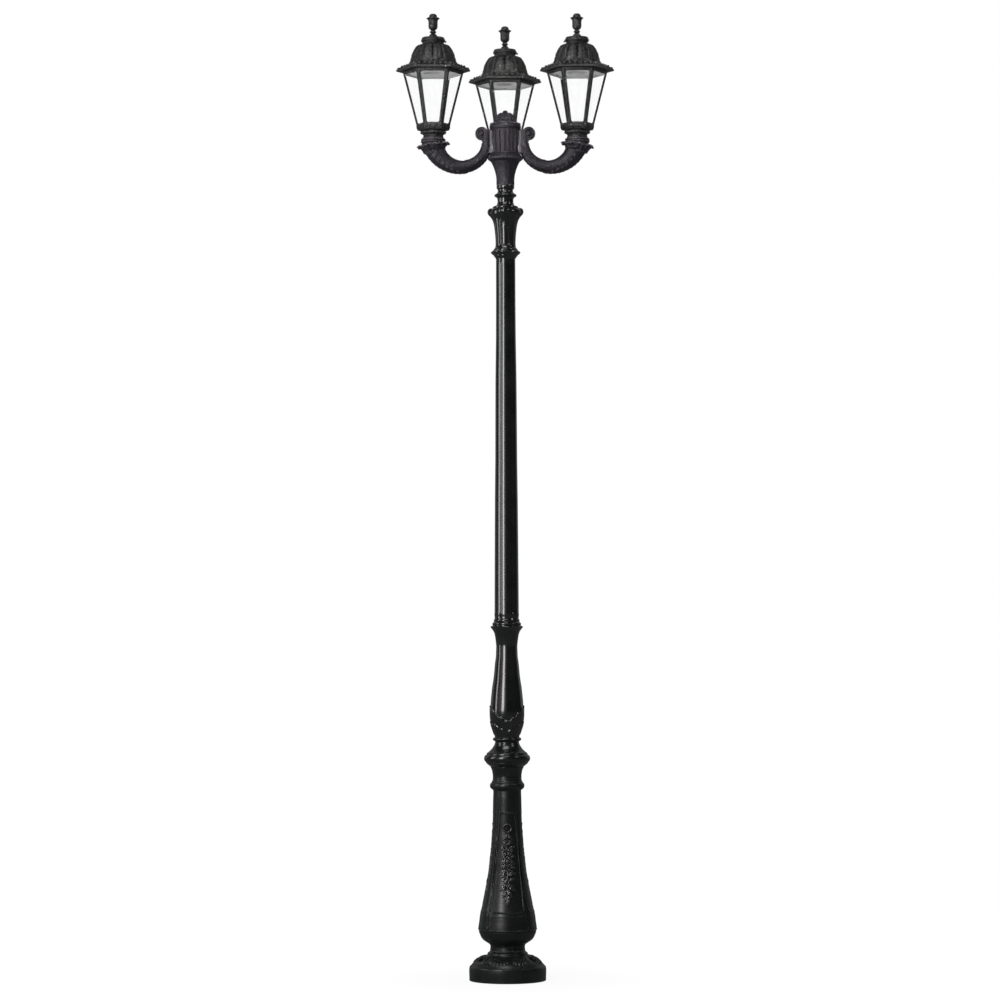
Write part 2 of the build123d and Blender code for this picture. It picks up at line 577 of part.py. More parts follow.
roof_rings = [(CAGE_TOP, EAVE_R - 1), (3184, EAVE_R), (3188, EAVE_R), (3192, 115), (3202, 96), (3209, 84),
              (3216.5, 79), (3227, 75), (3250, 69), (3264, 63), (3271, 54)]
roof_hollow = [(CAGE_TOP - 1, 84), (3190, 84), (3195, 87), (3205, 78), (3216, 72.5), (3227, 69.5), (3250, 63.5), (3262, 57.5), (3267, 50)]
with BuildPart() as roof:
    for (z0, r0), (z1, r1) in zip(roof_rings, roof_rings[1:]):
        with BuildSketch(Plane.XY.offset(z0)):
            RegularPolygon(r0, 6)
        with BuildSketch(Plane.XY.offset(z1)):
            RegularPolygon(r1, 6)
        loft(ruled=True)
    for (z0, r0), (z1, r1) in zip(roof_hollow, roof_hollow[1:]):
        with BuildSketch(Plane.XY.offset(z0)):
            RegularPolygon(r0, 6)
        with BuildSketch(Plane.XY.offset(z1)):
            RegularPolygon(r1, 6)
        loft(ruled=True, mode=Mode.SUBTRACT)
    with Locations((0, 0, 3268)):
        Cylinder(NECK_R, NECK_TOP - 3268, align=(Align.CENTER, Align.CENTER, Align.MIN))
    with Locations((0, 0, 3240)):
        Cylinder(NECK_BORE_R, 80, align=(Align.CENTER, Align.CENTER, Align.MIN), mode=Mode.SUBTRACT)
    with PolarLocations(ROOF_SCREW_R, 3, start_angle=90):
        with Locations((0, 0, CAGE_TOP - 1)):
            Cylinder(2.05, 6, align=(Align.CENTER, Align.CENTER, Align.MIN), mode=Mode.SUBTRACT)

with BuildPart() as roof_screws:
    with PolarLocations(ROOF_SCREW_R, 3, start_angle=90):
        with Locations((0, 0, 3172.5)):
            Cylinder(4.0, 2.5, align=(Align.CENTER, Align.CENTER, Align.MIN))
            Cylinder(2.0, 13, align=(Align.CENTER, Align.CENTER, Align.MIN))

with BuildPart() as cap:
    with BuildSketch(Plane.XZ):
        with BuildLine():
            Polyline((35.7, 3280), (40.8, 3280), (CAP_R, 3282), (CAP_R, 3295), (40, 3298.5), (29, 3300.5), (26, 3302.5),
                     (13, CAP_TOP), (4.05, CAP_TOP), (4.05, 3292.5), (35.7, 3292.5), close=True)
        make_face()
    revolve(axis=Axis.Z)
    with Locations(Plane(origin=(30, 0, 3287), z_dir=(1, 0, 0))):
        Cylinder(2.08, 20, align=(Align.CENTER, Align.CENTER, Align.MIN), mode=Mode.SUBTRACT)

with BuildPart() as cap_screw:
    with BuildSketch(Plane.XY):
        with BuildLine():
            Polyline((35.45, 0), (35.45, 2.0), (43.2, 2.0), (43.2, 3.3), (44, 3.7), (46, 3.7), (46.8, 3.0), (46.8, 0),
                     close=True)
        make_face()
    revolve(axis=Axis.X)
    with BuildSketch(Plane.YZ.offset(45.6)):
        Rectangle(1.0, 9)
    extrude(amount=3, mode=Mode.SUBTRACT)

with BuildPart() as finial:
    with BuildSketch(Plane.XZ):
        with BuildLine():
            Polyline((0, 3293), (4.0, 3293), (4.0, CAP_TOP), (12, CAP_TOP), (12, 3307), (9.5, 3310), (5.6, 3313),
                     (5.6, 3315.5), (8.6, 3317.5), (9.6, 3320.8), (8.6, 3324), (5.8, 3326), (6, 3328), (9.3, 3331),
                     (13.2, 3336), (15.6, 3343), (16, 3349), (14.8, 3356), (13.6, 3360), (17.5, 3362), (21.5, 3364.5),
                     (21.5, 3366), (18, 3369), (14.8, 3372), (12.8, 3375.5), (9.5, 3379.5), (5, 3382.5), (3.4, 3384.5),
                     (1.8, 3386), (0, 3386.5), close=True)
        make_face()
    revolve(axis=Axis.Z)

# ------------------------------------------------- the three lanterns in place
lantern_pieces = {"gallery": gallery, "nipple": nipple, "nipple_nut": nipple_nut, "lamp_holder": lamp_holder,
                  "screw_shell": screw_shell, "cage": cage, "panes": panes, "reflector": reflector, "roof": roof,
                  "roof_screws": roof_screws, "cap": cap, "finial": finial}
lantern_places = {"left": (-ARM_REACH, 0, 0), "right": (ARM_REACH, 0, 180), "rear": (0, ARM_REACH, 0)}
for side, (px, py, turn) in lantern_places.items():
    for piece_name, piece in lantern_pieces.items():
        with BuildPart() as placed:
            with Locations(Location((px, py, 0), (0, 0, turn))):
                add(piece.part)
        finish(placed, side + "_" + piece_name)
    with BuildPart() as placed_screw:
        with Locations(Location((px, py, 3287), (0, 0, turn))):
            add(cap_screw.part)
    finish(placed_screw, side + "_cap_screw")
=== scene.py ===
import math

import bmesh
import bpy
import numpy as np
from mathutils import Matrix, Vector


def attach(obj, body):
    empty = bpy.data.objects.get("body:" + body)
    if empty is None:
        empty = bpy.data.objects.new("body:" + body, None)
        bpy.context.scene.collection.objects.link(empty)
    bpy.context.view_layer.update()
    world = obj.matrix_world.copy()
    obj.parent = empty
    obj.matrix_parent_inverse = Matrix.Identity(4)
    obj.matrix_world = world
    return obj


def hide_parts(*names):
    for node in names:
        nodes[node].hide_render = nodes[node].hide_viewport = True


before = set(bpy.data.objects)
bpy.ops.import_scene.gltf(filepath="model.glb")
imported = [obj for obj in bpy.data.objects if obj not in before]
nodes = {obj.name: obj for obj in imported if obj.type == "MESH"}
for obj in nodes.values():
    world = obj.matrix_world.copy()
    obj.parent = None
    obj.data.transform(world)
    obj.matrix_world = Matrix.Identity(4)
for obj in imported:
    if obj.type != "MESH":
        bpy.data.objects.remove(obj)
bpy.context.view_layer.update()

# The looks of the triple head lamp post: carved, fluted and cast surfaces
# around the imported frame. Shapes are worked out in millimetres, +Z up, and
# written in metres. The camera looks along +Y.

MM = 0.001
PI = math.pi
rad = math.radians


# ------------------------------------------------------------------ helpers
def ease(a, b, x):
    t = np.clip((np.asarray(x, float) - a) / (b - a), 0, 1)
    return t * t * (3 - 2 * t)


def wrap(a, period):
    """a folded into -period/2 .. period/2."""
    return (np.asarray(a) + period / 2) % period - period / 2


def at(profile, z):
    """Radius of a rising (r, z) profile at height z."""
    p = np.array(profile, float)
    return np.interp(z, p[:, 1], p[:, 0])


def path_of(points, step=2.0, sharp_deg=48.0):
    """A dense (r, z) path through the points, rounded except at sharp corners."""
    p = np.array(points, float)
    seg = np.diff(p, axis=0)
    length = np.hypot(seg[:, 0], seg[:, 1])
    unit = seg / np.maximum(length, 1e-9)[:, None]
    turn = np.degrees(np.arccos(np.clip((unit[:-1] * unit[1:]).sum(1), -1, 1)))
    sharp = np.r_[True, turn > sharp_deg, True]
    out = [p[:1]]
    for i in range(len(p) - 1):
        l = length[i]
        ta = unit[i] if sharp[i] else unit[i - 1] * l + unit[i] * length[i - 1]
        tb = unit[i] if sharp[i + 1] else unit[i] * length[i + 1] + unit[i + 1] * l
        ta, tb = ta / np.hypot(*ta) * l, tb / np.hypot(*tb) * l
        t = np.linspace(0, 1, max(1, int(round(l / step))) + 1)[1:, None]
        out.append((2 * t**3 - 3 * t**2 + 1) * p[i] + (t**3 - 2 * t**2 + t) * ta
                   + (3 * t**2 - 2 * t**3) * p[i + 1] + (t**3 - t**2) * tb)
    return np.concatenate(out)


def grid_faces(m, n, start=0, wrap_n=False, wrap_m=False):
    """Quads over an m x n grid of vertices."""
    idx = start + np.arange(m * n).reshape(m, n)
    a, b = idx, np.roll(idx, -1, 1)
    c, d = np.roll(b, -1, 0), np.roll(idx, -1, 0)
    q = np.stack([a, b, c, d], -1)
    if not wrap_m:
        q = q[:-1]
    if not wrap_n:
        q = q[:, :-1]
    return q.reshape(-1, 4)


def revolved(path, thetas, offset=None, outer=None, loop=True, shape=None):
    """Vertices and quads of a (r, z) path swept round Z. offset(T, R, Z) moves the first `outer` points along the section's normal."""
    path = np.asarray(path, float)
    m = len(path)
    nxt, prv = np.roll(path, -1, 0), np.roll(path, 1, 0)
    if not loop:
        nxt[-1], prv[0] = path[-1], path[0]
    t = nxt - prv
    t /= np.maximum(np.hypot(t[:, 0], t[:, 1]), 1e-9)[:, None]
    nr, nz = t[:, 1:2], -t[:, 0:1]
    T = np.asarray(thetas, float)
    T = np.broadcast_to(T, (m, T.shape[-1])) if T.ndim == 1 else T
    R = np.broadcast_to(path[:, :1], T.shape).copy()
    Z = np.broadcast_to(path[:, 1:], T.shape).copy()
    if offset is not None:
        k = m if outer is None else outer
        h = offset(T[:k], R[:k], Z[:k])
        R[:k] += nr[:k] * h
        Z[:k] += nz[:k] * h
    if shape is not None:
        R = R * shape(T, path)
    v = np.stack([R * np.cos(T), R * np.sin(T), Z], -1).reshape(-1, 3)
    return v, grid_faces(m, T.shape[1], 0, True, loop)


def around(n, start=0.0):
    return start + np.arange(n) * 2 * PI / n


def joined(*parts):
    """Several (vertices, faces) sets as one."""
    vs, fs, n = [], [], 0
    for v, f in parts:
        vs.append(np.asarray(v, float))
        fs.append(np.asarray(f) + n)
        n += len(v)
    return np.concatenate(vs), np.concatenate(fs)


def turned(part, deg, move=(0, 0, 0)):
    v, f = part
    c, s = math.cos(rad(deg)), math.sin(rad(deg))
    v = np.asarray(v, float)
    w = np.stack([v[:, 0] * c - v[:, 1] * s, v[:, 0] * s + v[:, 1] * c, v[:, 2]], -1)
    return w + np.array(move, float), f


def make(name, part, body, mat, replaces=(), angle=38.0, weld=False):
    """One mesh piece, riding on its body."""
    v, f = part
    me = bpy.data.meshes.new(name)
    f = np.asarray(f)
    me.vertices.add(len(v))
    me.vertices.foreach_set("co", (np.asarray(v, float) * MM).astype(np.float32).ravel())
    me.loops.add(f.size)
    me.loops.foreach_set("vertex_index", f.astype(np.int32).ravel())
    me.polygons.add(len(f))
    me.polygons.foreach_set("loop_start", (np.arange(len(f)) * f.shape[1]).astype(np.int32))
    me.update(calc_edges=True)
    me.validate()
    if weld:
        bm = bmesh.new()
        bm.from_mesh(me)
        bmesh.ops.remove_doubles(bm, verts=bm.verts, dist=2e-6)
        bmesh.ops.dissolve_degenerate(bm, edges=bm.edges, dist=1e-6)
        bm.to_mesh(me)
        bm.free()
    me.polygons.foreach_set("use_smooth", np.ones(len(me.polygons), bool))
    me.set_sharp_from_angle(angle=rad(angle))
    ob = bpy.data.objects.new(name, me)
    bpy.context.scene.collection.objects.link(ob)
    me.materials.append(mat)
    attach(ob, body)
    if replaces:
        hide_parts(*replaces)
    return ob


def cut(ob, tools):
    """Take closed (vertices, faces) shapes away from a piece."""
    v, f = joined(*tools)
    me = bpy.data.meshes.new("tool")
    me.from_pydata((v * MM).tolist(), [], [list(q) for q in f])
    tool = bpy.data.objects.new("tool", me)
    bpy.context.scene.collection.objects.link(tool)
    mod = ob.modifiers.new("cut", "BOOLEAN")
    mod.operation, mod.solver, mod.object = "DIFFERENCE", "EXACT", tool
    bpy.context.view_layer.update()
    done = bpy.data.meshes.new_from_object(ob.evaluated_get(bpy.context.evaluated_depsgraph_get()))
    ob.modifiers.clear()
    old, ob.data = ob.data, done
    name = old.name
    bpy.data.meshes.remove(old)
    done.name = name
    bpy.data.objects.remove(tool)
    bpy.data.meshes.remove(me)
    done.polygons.foreach_set("use_smooth", np.ones(len(done.polygons), bool))
    done.set_sharp_from_angle(angle=rad(38))
    return ob


def rod(p, axis, r, length, n=32):
    """A closed cylinder as quads, from p along an axis."""
    axis = np.array(axis, float) / np.linalg.norm(axis)
    side = np.cross(axis, [0, 0, 1.0]) if abs(axis[2]) < 0.9 else np.cross(axis, [1.0, 0, 0])
    side /= np.linalg.norm(side)
    up = np.cross(axis, side)
    t = around(n)
    rings = []
    for d, k in ((0, 0.001), (0, 1), (length, 1), (length, 0.001)):
        rings.append(np.array(p, float) + axis * d + r * k * (np.cos(t)[:, None] * side + np.sin(t)[:, None] * up))
    v = np.concatenate(rings)
    f = grid_faces(4, n, 0, True, False)
    return v, f


def bead(p, r, n=10):
    """A small round bead."""
    a, b = np.linspace(0.02, PI - 0.02, 7)[:, None], around(n)[None, :]
    v = np.stack([r * np.sin(a) * np.cos(b), r * np.sin(a) * np.sin(b), -r * np.cos(a) + 0 * b], -1).reshape(-1, 3)
    return v + np.array(p, float), grid_faces(7, n, 0, True, False)


def leaf(spine, half, thick=2.0, nu=13, nv=44, lobes=5, depth=0.28, camber=2.0, rib=1.0, vein=0.7, sweep=0.05,
         base=0.72, swell=0.38, slim=7.0):
    """A carved leaf with lobed edges, a midrib and veins, following a (r, z) spine with its middle on +X."""
    s = path_of(spine, 0.6, 170)
    d = np.r_[0, np.cumsum(np.hypot(*np.diff(s, axis=0).T))]
    d /= d[-1]
    v = np.linspace(0, 1, nv)
    u = np.linspace(-1, 1, nu)
    V, U = np.meshgrid(v, u, indexing="ij")
    env = (base + swell * np.sin(PI * v**0.85)) * np.sqrt(np.clip(1 - v**slim, 0.0, 1))
    edge = 1 - depth * (1 - np.abs(np.sin(PI * v * lobes)) ** 0.7)
    w = np.maximum(half * env * edge, 0.4)
    W = np.clip(V + sweep * np.abs(U) ** 1.5 * (1 - V), 0, 1)
    sr, sz = np.interp(W, d, s[:, 0]), np.interp(W, d, s[:, 1])
    tr, tz = np.gradient(s[:, 0], d), np.gradient(s[:, 1], d)
    tl = np.hypot(tr, tz)
    nr, nz = np.interp(W, d, tz / tl), np.interp(W, d, -tr / tl)
    a = np.abs(U)
    h = (-camber * a**2 + rib * np.exp(-((U / 0.14) ** 2)) - 0.45 * rib * np.exp(-(((a - 0.26) / 0.09) ** 2))
         + vein * np.cos(2 * PI * (V * lobes - 0.5)) * a * ease(0.0, 0.35, a))
    h = h * ease(0, 0.06, V)
    out = []
    for drop in (0.0, thick):
        k = h - drop * (1 - 0.45 * a**3) * (1 - 0.5 * V**6)
        r, z = sr + nr * k, sz + nz * k
        th = U * w[:, None] / np.maximum(sr, 9)
        out.append(np.stack([r * np.cos(th), r * np.sin(th), z], -1).reshape(-1, 3))
    n = nv * nu
    top = grid_faces(nv, nu, 0)
    bottom = grid_faces(nv, nu, n)[:, ::-1]
    idx = np.arange(n).reshape(nv, nu)
    rim = np.concatenate([idx[0, :], idx[1:, -1], idx[-1, -2::-1], idx[-2:0:-1, 0]])
    nxt = np.roll(rim, -1)
    side = np.stack([nxt, rim, rim + n, nxt + n], -1)
    return np.concatenate(out), np.concatenate([top, bottom, side])


def carved(x, v, lobes=5, depth=0.3, taper=1.6, veins=0.35):
    """Height 0 to 1 of a leaf in low relief. x runs -1 to 1 across, v from 0 at its root to 1 at its tip."""
    a = np.abs(x)
    inside = (v > 0) & (v < 1)
    vv = np.clip(v, 0, 1)
    env = np.clip(1 - vv**taper, 0, 1) ** 0.62
    s = vv * lobes + 0.55 * a
    edge = env * (1 - depth * (1 - np.abs(np.sin(PI * s)) ** 0.7))
    rise = ease(0.0, 0.10, edge - a)
    q = np.clip(a / np.maximum(edge, 0.05), 0, 1)
    h = 0.62 + 0.30 * (1 - q**2) + 0.25 * np.exp(-((x / 0.07) ** 2)) - 0.20 * np.exp(-(((a - 0.15) / 0.05) ** 2))
    h = h + veins * 0.5 * (np.abs(np.sin(PI * s)) - 0.6) * ease(0.1, 0.4, q)
    return np.where(inside, rise * h, 0.0)


# ---------------------------------------------------------------- materials
def material(name, dark, light, rough, grain, scale, coat=0.0, coat_rough=0.1, metal=0.0, wear_and_highlight=0.0, wear_and_highlight_colour=None,
             mottled=9.0, spec=0.5, deep=0.0012):
    """A procedural finish: mottled colour, uneven roughness, surface grain, edges lightened partly as wear and partly
    as a painted highlight, and painted shade darkening the hollows.
    """
    m = bpy.data.materials.new(name)
    m.use_nodes = True
    nt = m.node_tree
    b = nt.nodes["Principled BSDF"]
    b.inputs["Metallic"].default_value = metal
    b.inputs["Specular IOR Level"].default_value = spec
    b.inputs["Coat Weight"].default_value = coat
    b.inputs["Coat Roughness"].default_value = coat_rough
    co = nt.nodes.new("ShaderNodeTexCoord")

    def noise(sc, detail=4.0, roughness=0.55):
        n = nt.nodes.new("ShaderNodeTexNoise")
        n.inputs["Scale"].default_value = sc
        n.inputs["Detail"].default_value = detail
        n.inputs["Roughness"].default_value = roughness
        nt.links.new(co.outputs["Object"], n.inputs["Vector"])
        return n

    tone = noise(mottled, 6.0, 0.62)
    ramp = nt.nodes.new("ShaderNodeValToRGB")
    ramp.color_ramp.elements[0].position, ramp.color_ramp.elements[1].position = 0.32, 0.70
    ramp.color_ramp.elements[0].color = (*dark, 1)
    ramp.color_ramp.elements[1].color = (*light, 1)
    nt.links.new(tone.outputs["Fac"], ramp.inputs["Fac"])
    colour = ramp.outputs["Color"]
    if wear_and_highlight:
        # edges found by pointiness are lightened: partly wear, partly a painted highlight on ridges and rims
        geo = nt.nodes.new("ShaderNodeNewGeometry")
        wear_and_highlight_noise = noise(55.0, 5.0, 0.7)
        edge = nt.nodes.new("ShaderNodeMapRange")
        edge.inputs["From Min"].default_value, edge.inputs["From Max"].default_value = 0.515, 0.60
        nt.links.new(geo.outputs["Pointiness"], edge.inputs["Value"])
        mul = nt.nodes.new("ShaderNodeMath")
        mul.operation = "MULTIPLY"
        nt.links.new(edge.outputs["Result"], mul.inputs[0])
        nt.links.new(wear_and_highlight_noise.outputs["Fac"], mul.inputs[1])
        amount = nt.nodes.new("ShaderNodeMath")
        amount.operation = "MULTIPLY"
        nt.links.new(mul.outputs[0], amount.inputs[0])
        amount.inputs[1].default_value = wear_and_highlight
        mix = nt.nodes.new("ShaderNodeMix")
        mix.data_type = "RGBA"
        nt.links.new(amount.outputs[0], mix.inputs[0])
        nt.links.new(colour, mix.inputs[6])
        mix.inputs[7].default_value = (*(wear_and_highlight_colour or light), 1)
        colour = mix.outputs[2]
        # painted shade: hollows found by pointiness are mixed towards near black
        hollow_shade_mask = nt.nodes.new("ShaderNodeMapRange")
        hollow_shade_mask.inputs["From Min"].default_value, hollow_shade_mask.inputs["From Max"].default_value = 0.40, 0.492
        hollow_shade_mask.inputs["To Min"].default_value, hollow_shade_mask.inputs["To Max"].default_value = 0.92, 0.0
        nt.links.new(geo.outputs["Pointiness"], hollow_shade_mask.inputs["Value"])
        painted_hollow_shade = nt.nodes.new("ShaderNodeMix")
        painted_hollow_shade.data_type = "RGBA"
        nt.links.new(hollow_shade_mask.outputs["Result"], painted_hollow_shade.inputs[0])
        nt.links.new(colour, painted_hollow_shade.inputs[6])
        painted_hollow_shade.inputs[7].default_value = (0.0015, 0.0015, 0.0016, 1)
        colour = painted_hollow_shade.outputs[2]
        dull = nt.nodes.new("ShaderNodeMapRange")
        dull.inputs["From Min"].default_value, dull.inputs["From Max"].default_value = 0.42, 0.492
        dull.inputs["To Min"].default_value, dull.inputs["To Max"].default_value = 0.15 * spec, spec
        nt.links.new(geo.outputs["Pointiness"], dull.inputs["Value"])
        nt.links.new(dull.outputs["Result"], b.inputs["Specular IOR Level"])
    nt.links.new(colour, b.inputs["Base Color"])
    patch = noise(scale * 0.16, 5.0, 0.6)
    rr = nt.nodes.new("ShaderNodeMapRange")
    rr.inputs["From Min"].default_value, rr.inputs["From Max"].default_value = 0.3, 0.7
    rr.inputs["To Min"].default_value, rr.inputs["To Max"].default_value = rough
    nt.links.new(patch.outputs["Fac"], rr.inputs["Value"])
    nt.links.new(rr.outputs["Result"], b.inputs["Roughness"])
    fine = noise(scale, 3.0, 0.6)
    bump = nt.nodes.new("ShaderNodeBump")
    bump.inputs["Strength"].default_value = grain
    bump.inputs["Distance"].default_value = deep
    nt.links.new(fine.outputs["Fac"], bump.inputs["Height"])
    nt.links.new(bump.outputs["Normal"], b.inputs["Normal"])
    return m


# finishes with a wear amount get edges lightened partly as wear and partly as a painted highlight, and painted shade in
# their hollows
post_gloss = material("post_gloss", (0.0035, 0.0042, 0.0042), (0.009, 0.0095, 0.0095), (0.13, 0.20), 0.03, 420,
                      coat=0.55, coat_rough=0.08, wear_and_highlight=0.35, wear_and_highlight_colour=(0.05, 0.05, 0.05), mottled=14)
# on the satin finish the strong edge lightening is mostly a painted highlight on ridges and panel borders
post_satin = material("post_satin", (0.0026, 0.0035, 0.0035), (0.0065, 0.0078, 0.0078), (0.30, 0.42), 0.06, 260,
                      coat=0.12, coat_rough=0.22, wear_and_highlight=1.3, wear_and_highlight_colour=(0.085, 0.092, 0.092), mottled=14, spec=0.38)
# painted highlight: the vine's paint is lighter than the post's and its edges are strongly lightened, standing in for
# highlights on the relief
vine_gloss_painted_highlight = material("vine_gloss_painted_highlight", (0.006, 0.007, 0.007), (0.013, 0.014, 0.014), (0.12, 0.20), 0.03, 420,
                      coat=0.9, coat_rough=0.10, wear_and_highlight=0.8, wear_and_highlight_colour=(0.10, 0.105, 0.105), mottled=14)
bracket_cast = material("bracket_cast", (0.0020, 0.0013, 0.0027), (0.017, 0.0125, 0.020), (0.29, 0.46), 1.0, 170,
                        wear_and_highlight=1.5, wear_and_highlight_colour=(0.16, 0.145, 0.165), mottled=150, spec=0.45, deep=0.0022)
post_semi = material("post_semi", (0.0030, 0.0038, 0.0038), (0.0075, 0.0085, 0.0085), (0.19, 0.27), 0.04, 300,
                     coat=0.3, coat_rough=0.15, wear_and_highlight=0.35, wear_and_highlight_colour=(0.05, 0.05, 0.05), mottled=14, spec=0.45)
lantern_paint = material("lantern_paint", (0.0022, 0.0026, 0.0025), (0.017, 0.0176, 0.0172), (0.22, 0.38), 0.9, 130,
                         wear_and_highlight=1.0, wear_and_highlight_colour=(0.12, 0.12, 0.12), mottled=120, spec=0.45, deep=0.0040)
reflector_grey = material("reflector_grey", (0.50, 0.50, 0.50), (0.58, 0.58, 0.58), (0.45, 0.6), 0.08, 200, mottled=20)
zinc_steel = material("zinc_steel", (0.42, 0.43, 0.45), (0.62, 0.63, 0.65), (0.28, 0.45), 0.12, 260, metal=1.0, mottled=55)
dark_screw = material("dark_screw", (0.04, 0.04, 0.042), (0.09, 0.09, 0.094), (0.3, 0.45), 0.15, 500, metal=0.8, mottled=80)
lamp_ceramic = material("lamp_ceramic", (0.72, 0.70, 0.66), (0.80, 0.79, 0.76), (0.22, 0.34), 0.05, 260, coat=0.4, mottled=30)
contact_brass = material("contact_brass", (0.58, 0.40, 0.16), (0.74, 0.54, 0.25), (0.25, 0.4), 0.08, 400, metal=1.0, mottled=90)
block_plastic = material("block_plastic", (0.50, 0.49, 0.45), (0.58, 0.57, 0.53), (0.38, 0.5), 0.10, 500, mottled=40)

# clear glazing: shows what is behind it, with a weak sheen and faint haze
clear_pane = bpy.data.materials.new("clear_pane")
clear_pane.use_nodes = True
nt = clear_pane.node_tree
nt.nodes.clear()
out = nt.nodes.new("ShaderNodeOutputMaterial")
co = nt.nodes.new("ShaderNodeTexCoord")
haze = nt.nodes.new("ShaderNodeTexNoise")
haze.inputs["Scale"].default_value, haze.inputs["Detail"].default_value = 26.0, 6.0
nt.links.new(co.outputs["Object"], haze.inputs["Vector"])
tint = nt.nodes.new("ShaderNodeValToRGB")
tint.color_ramp.elements[0].position, tint.color_ramp.elements[1].position = 0.35, 0.7
tint.color_ramp.elements[0].color = (0.992, 0.995, 0.994, 1)
tint.color_ramp.elements[1].color = (1.0, 1.0, 1.0, 1)
nt.links.new(haze.outputs["Fac"], tint.inputs["Fac"])
see = nt.nodes.new("ShaderNodeBsdfTransparent")
nt.links.new(tint.outputs["Color"], see.inputs["Color"])
shine = nt.nodes.new("ShaderNodeBsdfGlossy")
shine.inputs["Roughness"].default_value = 0.05
shine.inputs["Color"].default_value = (1, 1, 1, 1)
faint = nt.nodes.new("ShaderNodeMapRange")
faint.inputs["To Min"].default_value, faint.inputs["To Max"].default_value = 0.004, 0.014
nt.links.new(haze.outputs["Fac"], faint.inputs["Value"])
mix = nt.nodes.new("ShaderNodeMixShader")
nt.links.new(faint.outputs["Result"], mix.inputs[0])
nt.links.new(see.outputs[0], mix.inputs[1])
nt.links.new(shine.outputs[0], mix.inputs[2])
nt.links.new(mix.outputs[0], out.inputs["Surface"])


# ------------------------------------------------------------ foot casting
foot_outer = path_of([(132.6, 0), (133.6, 1.0), (133.7, 8), (133.5, 44.6), (133.1, 47.2), (131.9, 49.4), (129.6, 51.2),
                      (125.6, 55.6), (121, 61.0), (115.5, 66), (108, 71.5), (99, 77), (90, 81.5), (80, 85), (73, 87.6),
                      (70.6, 90.6), (70.4, 94.2), (67.6, 97.8), (64, 99.6), (62.4, 101), (61.6, 103)], 1.5, 30)
foot_inner = path_of([(51.6, 103), (51.6, 115), (46, 115), (46, 88), (14.2, 88), (14.2, 70), (44, 70), (44, 45), (40, 45),
                      (40, 0)], 9)


def foot_relief(T, R, Z):
    """Eight leaves fanning out over the dome, each with five fingers."""
    x = np.degrees(wrap(T + rad(62.5), rad(45))) / 21.0
    v = (R - 73) / 51.0
    on = (Z > 57) & (Z < 89)
    u = x / (0.52 + 0.48 * np.clip(v, 0, 1))
    finger = np.abs(np.cos(3 * PI * u))
    end = 0.99 - 0.20 * u**2 - 0.09 * (1 - finger)
    body = (1 - ease(0.88, 1.08, np.abs(u))) * ease(-0.02, 0.12, v) * (1 - ease(end - 0.07, end, v))
    row = np.abs(np.sin(PI * (3.2 * v + 0.6 * np.abs(u))))
    h = body * (1.4 + 2.0 * finger**0.7 * ease(0.1, 0.4, v) + 1.1 * (row - 0.5) * ease(0.15, 0.4, v))
    return np.where(on, h, 0)


foot = revolved(np.concatenate([foot_outer, foot_inner[1:]]), around(540), foot_relief, len(foot_outer))
foot_ob = make("foot", foot, "post", post_satin, ["foot_casting"])
tools = []
for a in (90, 210, 330):
    c, s = math.cos(rad(a)) * 100, math.sin(rad(a)) * 100
    tools.append(rod((c, s, -2), (0, 0, 1), 6.5, 60, 32))
    tools.append(rod((c, s, 40), (0, 0, 1), 15.0, 60, 48))
for a in (0, 180):
    tools.append(rod((28 * math.cos(rad(a)), 0, 66), (0, 0, 1), 8, 30, 32))

# ---------------------------------------------------------------- pedestal
ped_points = [(61.6, 103), (62, 124), (70.5, 131), (81.4, 138), (88.9, 145), (93.5, 152), (97.1, 159), (100.6, 166),
              (101.3, 173), (101.3, 180), (100.1, 194), (98.2, 208), (96.6, 222), (94.3, 236), (91, 250), (87.7, 264),
              (84.7, 278), (78, 313), (71.2, 348), (65.6, 383), (61.8, 418), (57.2, 453), (55.1, 488), (52.3, 523),
              (51.1, 558), (49.9, 593), (49.2, 628), (48.8, 655), (49.0, 659.6), (50.6, 661.2), (50.8, 663.0),
              (53.6, 664.0), (57.8, 667.6), (60.0, 672.2), (60.4, 676.5), (59.4, 681.5), (56.8, 685.6), (54.0, 687.8),
              (53.8, 690.6), (52.2, 692.6), (51.2, 694.6), (50.5, 698), (50.4, 702)]
ped_inner = [(35.8, 702), (35.8, 712), (32, 712), (32, 702), (14.2, 702), (14.2, 660), (41, 660), (41, 655), (42, 600),
             (44, 540), (47, 490), (49.5, 455), (53.5, 420), (58, 384), (63.5, 350), (70, 318), (77, 283), (84, 250),
             (91, 212), (93.5, 180), (92, 168), (86, 158), (76, 149), (62, 141), (52, 136), (52, 103)]
P_LOW, P_TOP = 241.5, 582.0
smooth_ped = path_of(ped_points, 0.8, 60)
order = np.argsort(smooth_ped[:, 1], kind="stable")
ped_z, ped_r = smooth_ped[order, 1], smooth_ped[order, 0]


def ped_radius(z):
    return np.interp(z, ped_z, ped_r)


def panel_half(z):
    return 56 - 32 * (np.clip(z, P_LOW, P_TOP) - P_LOW) / (P_TOP - P_LOW)


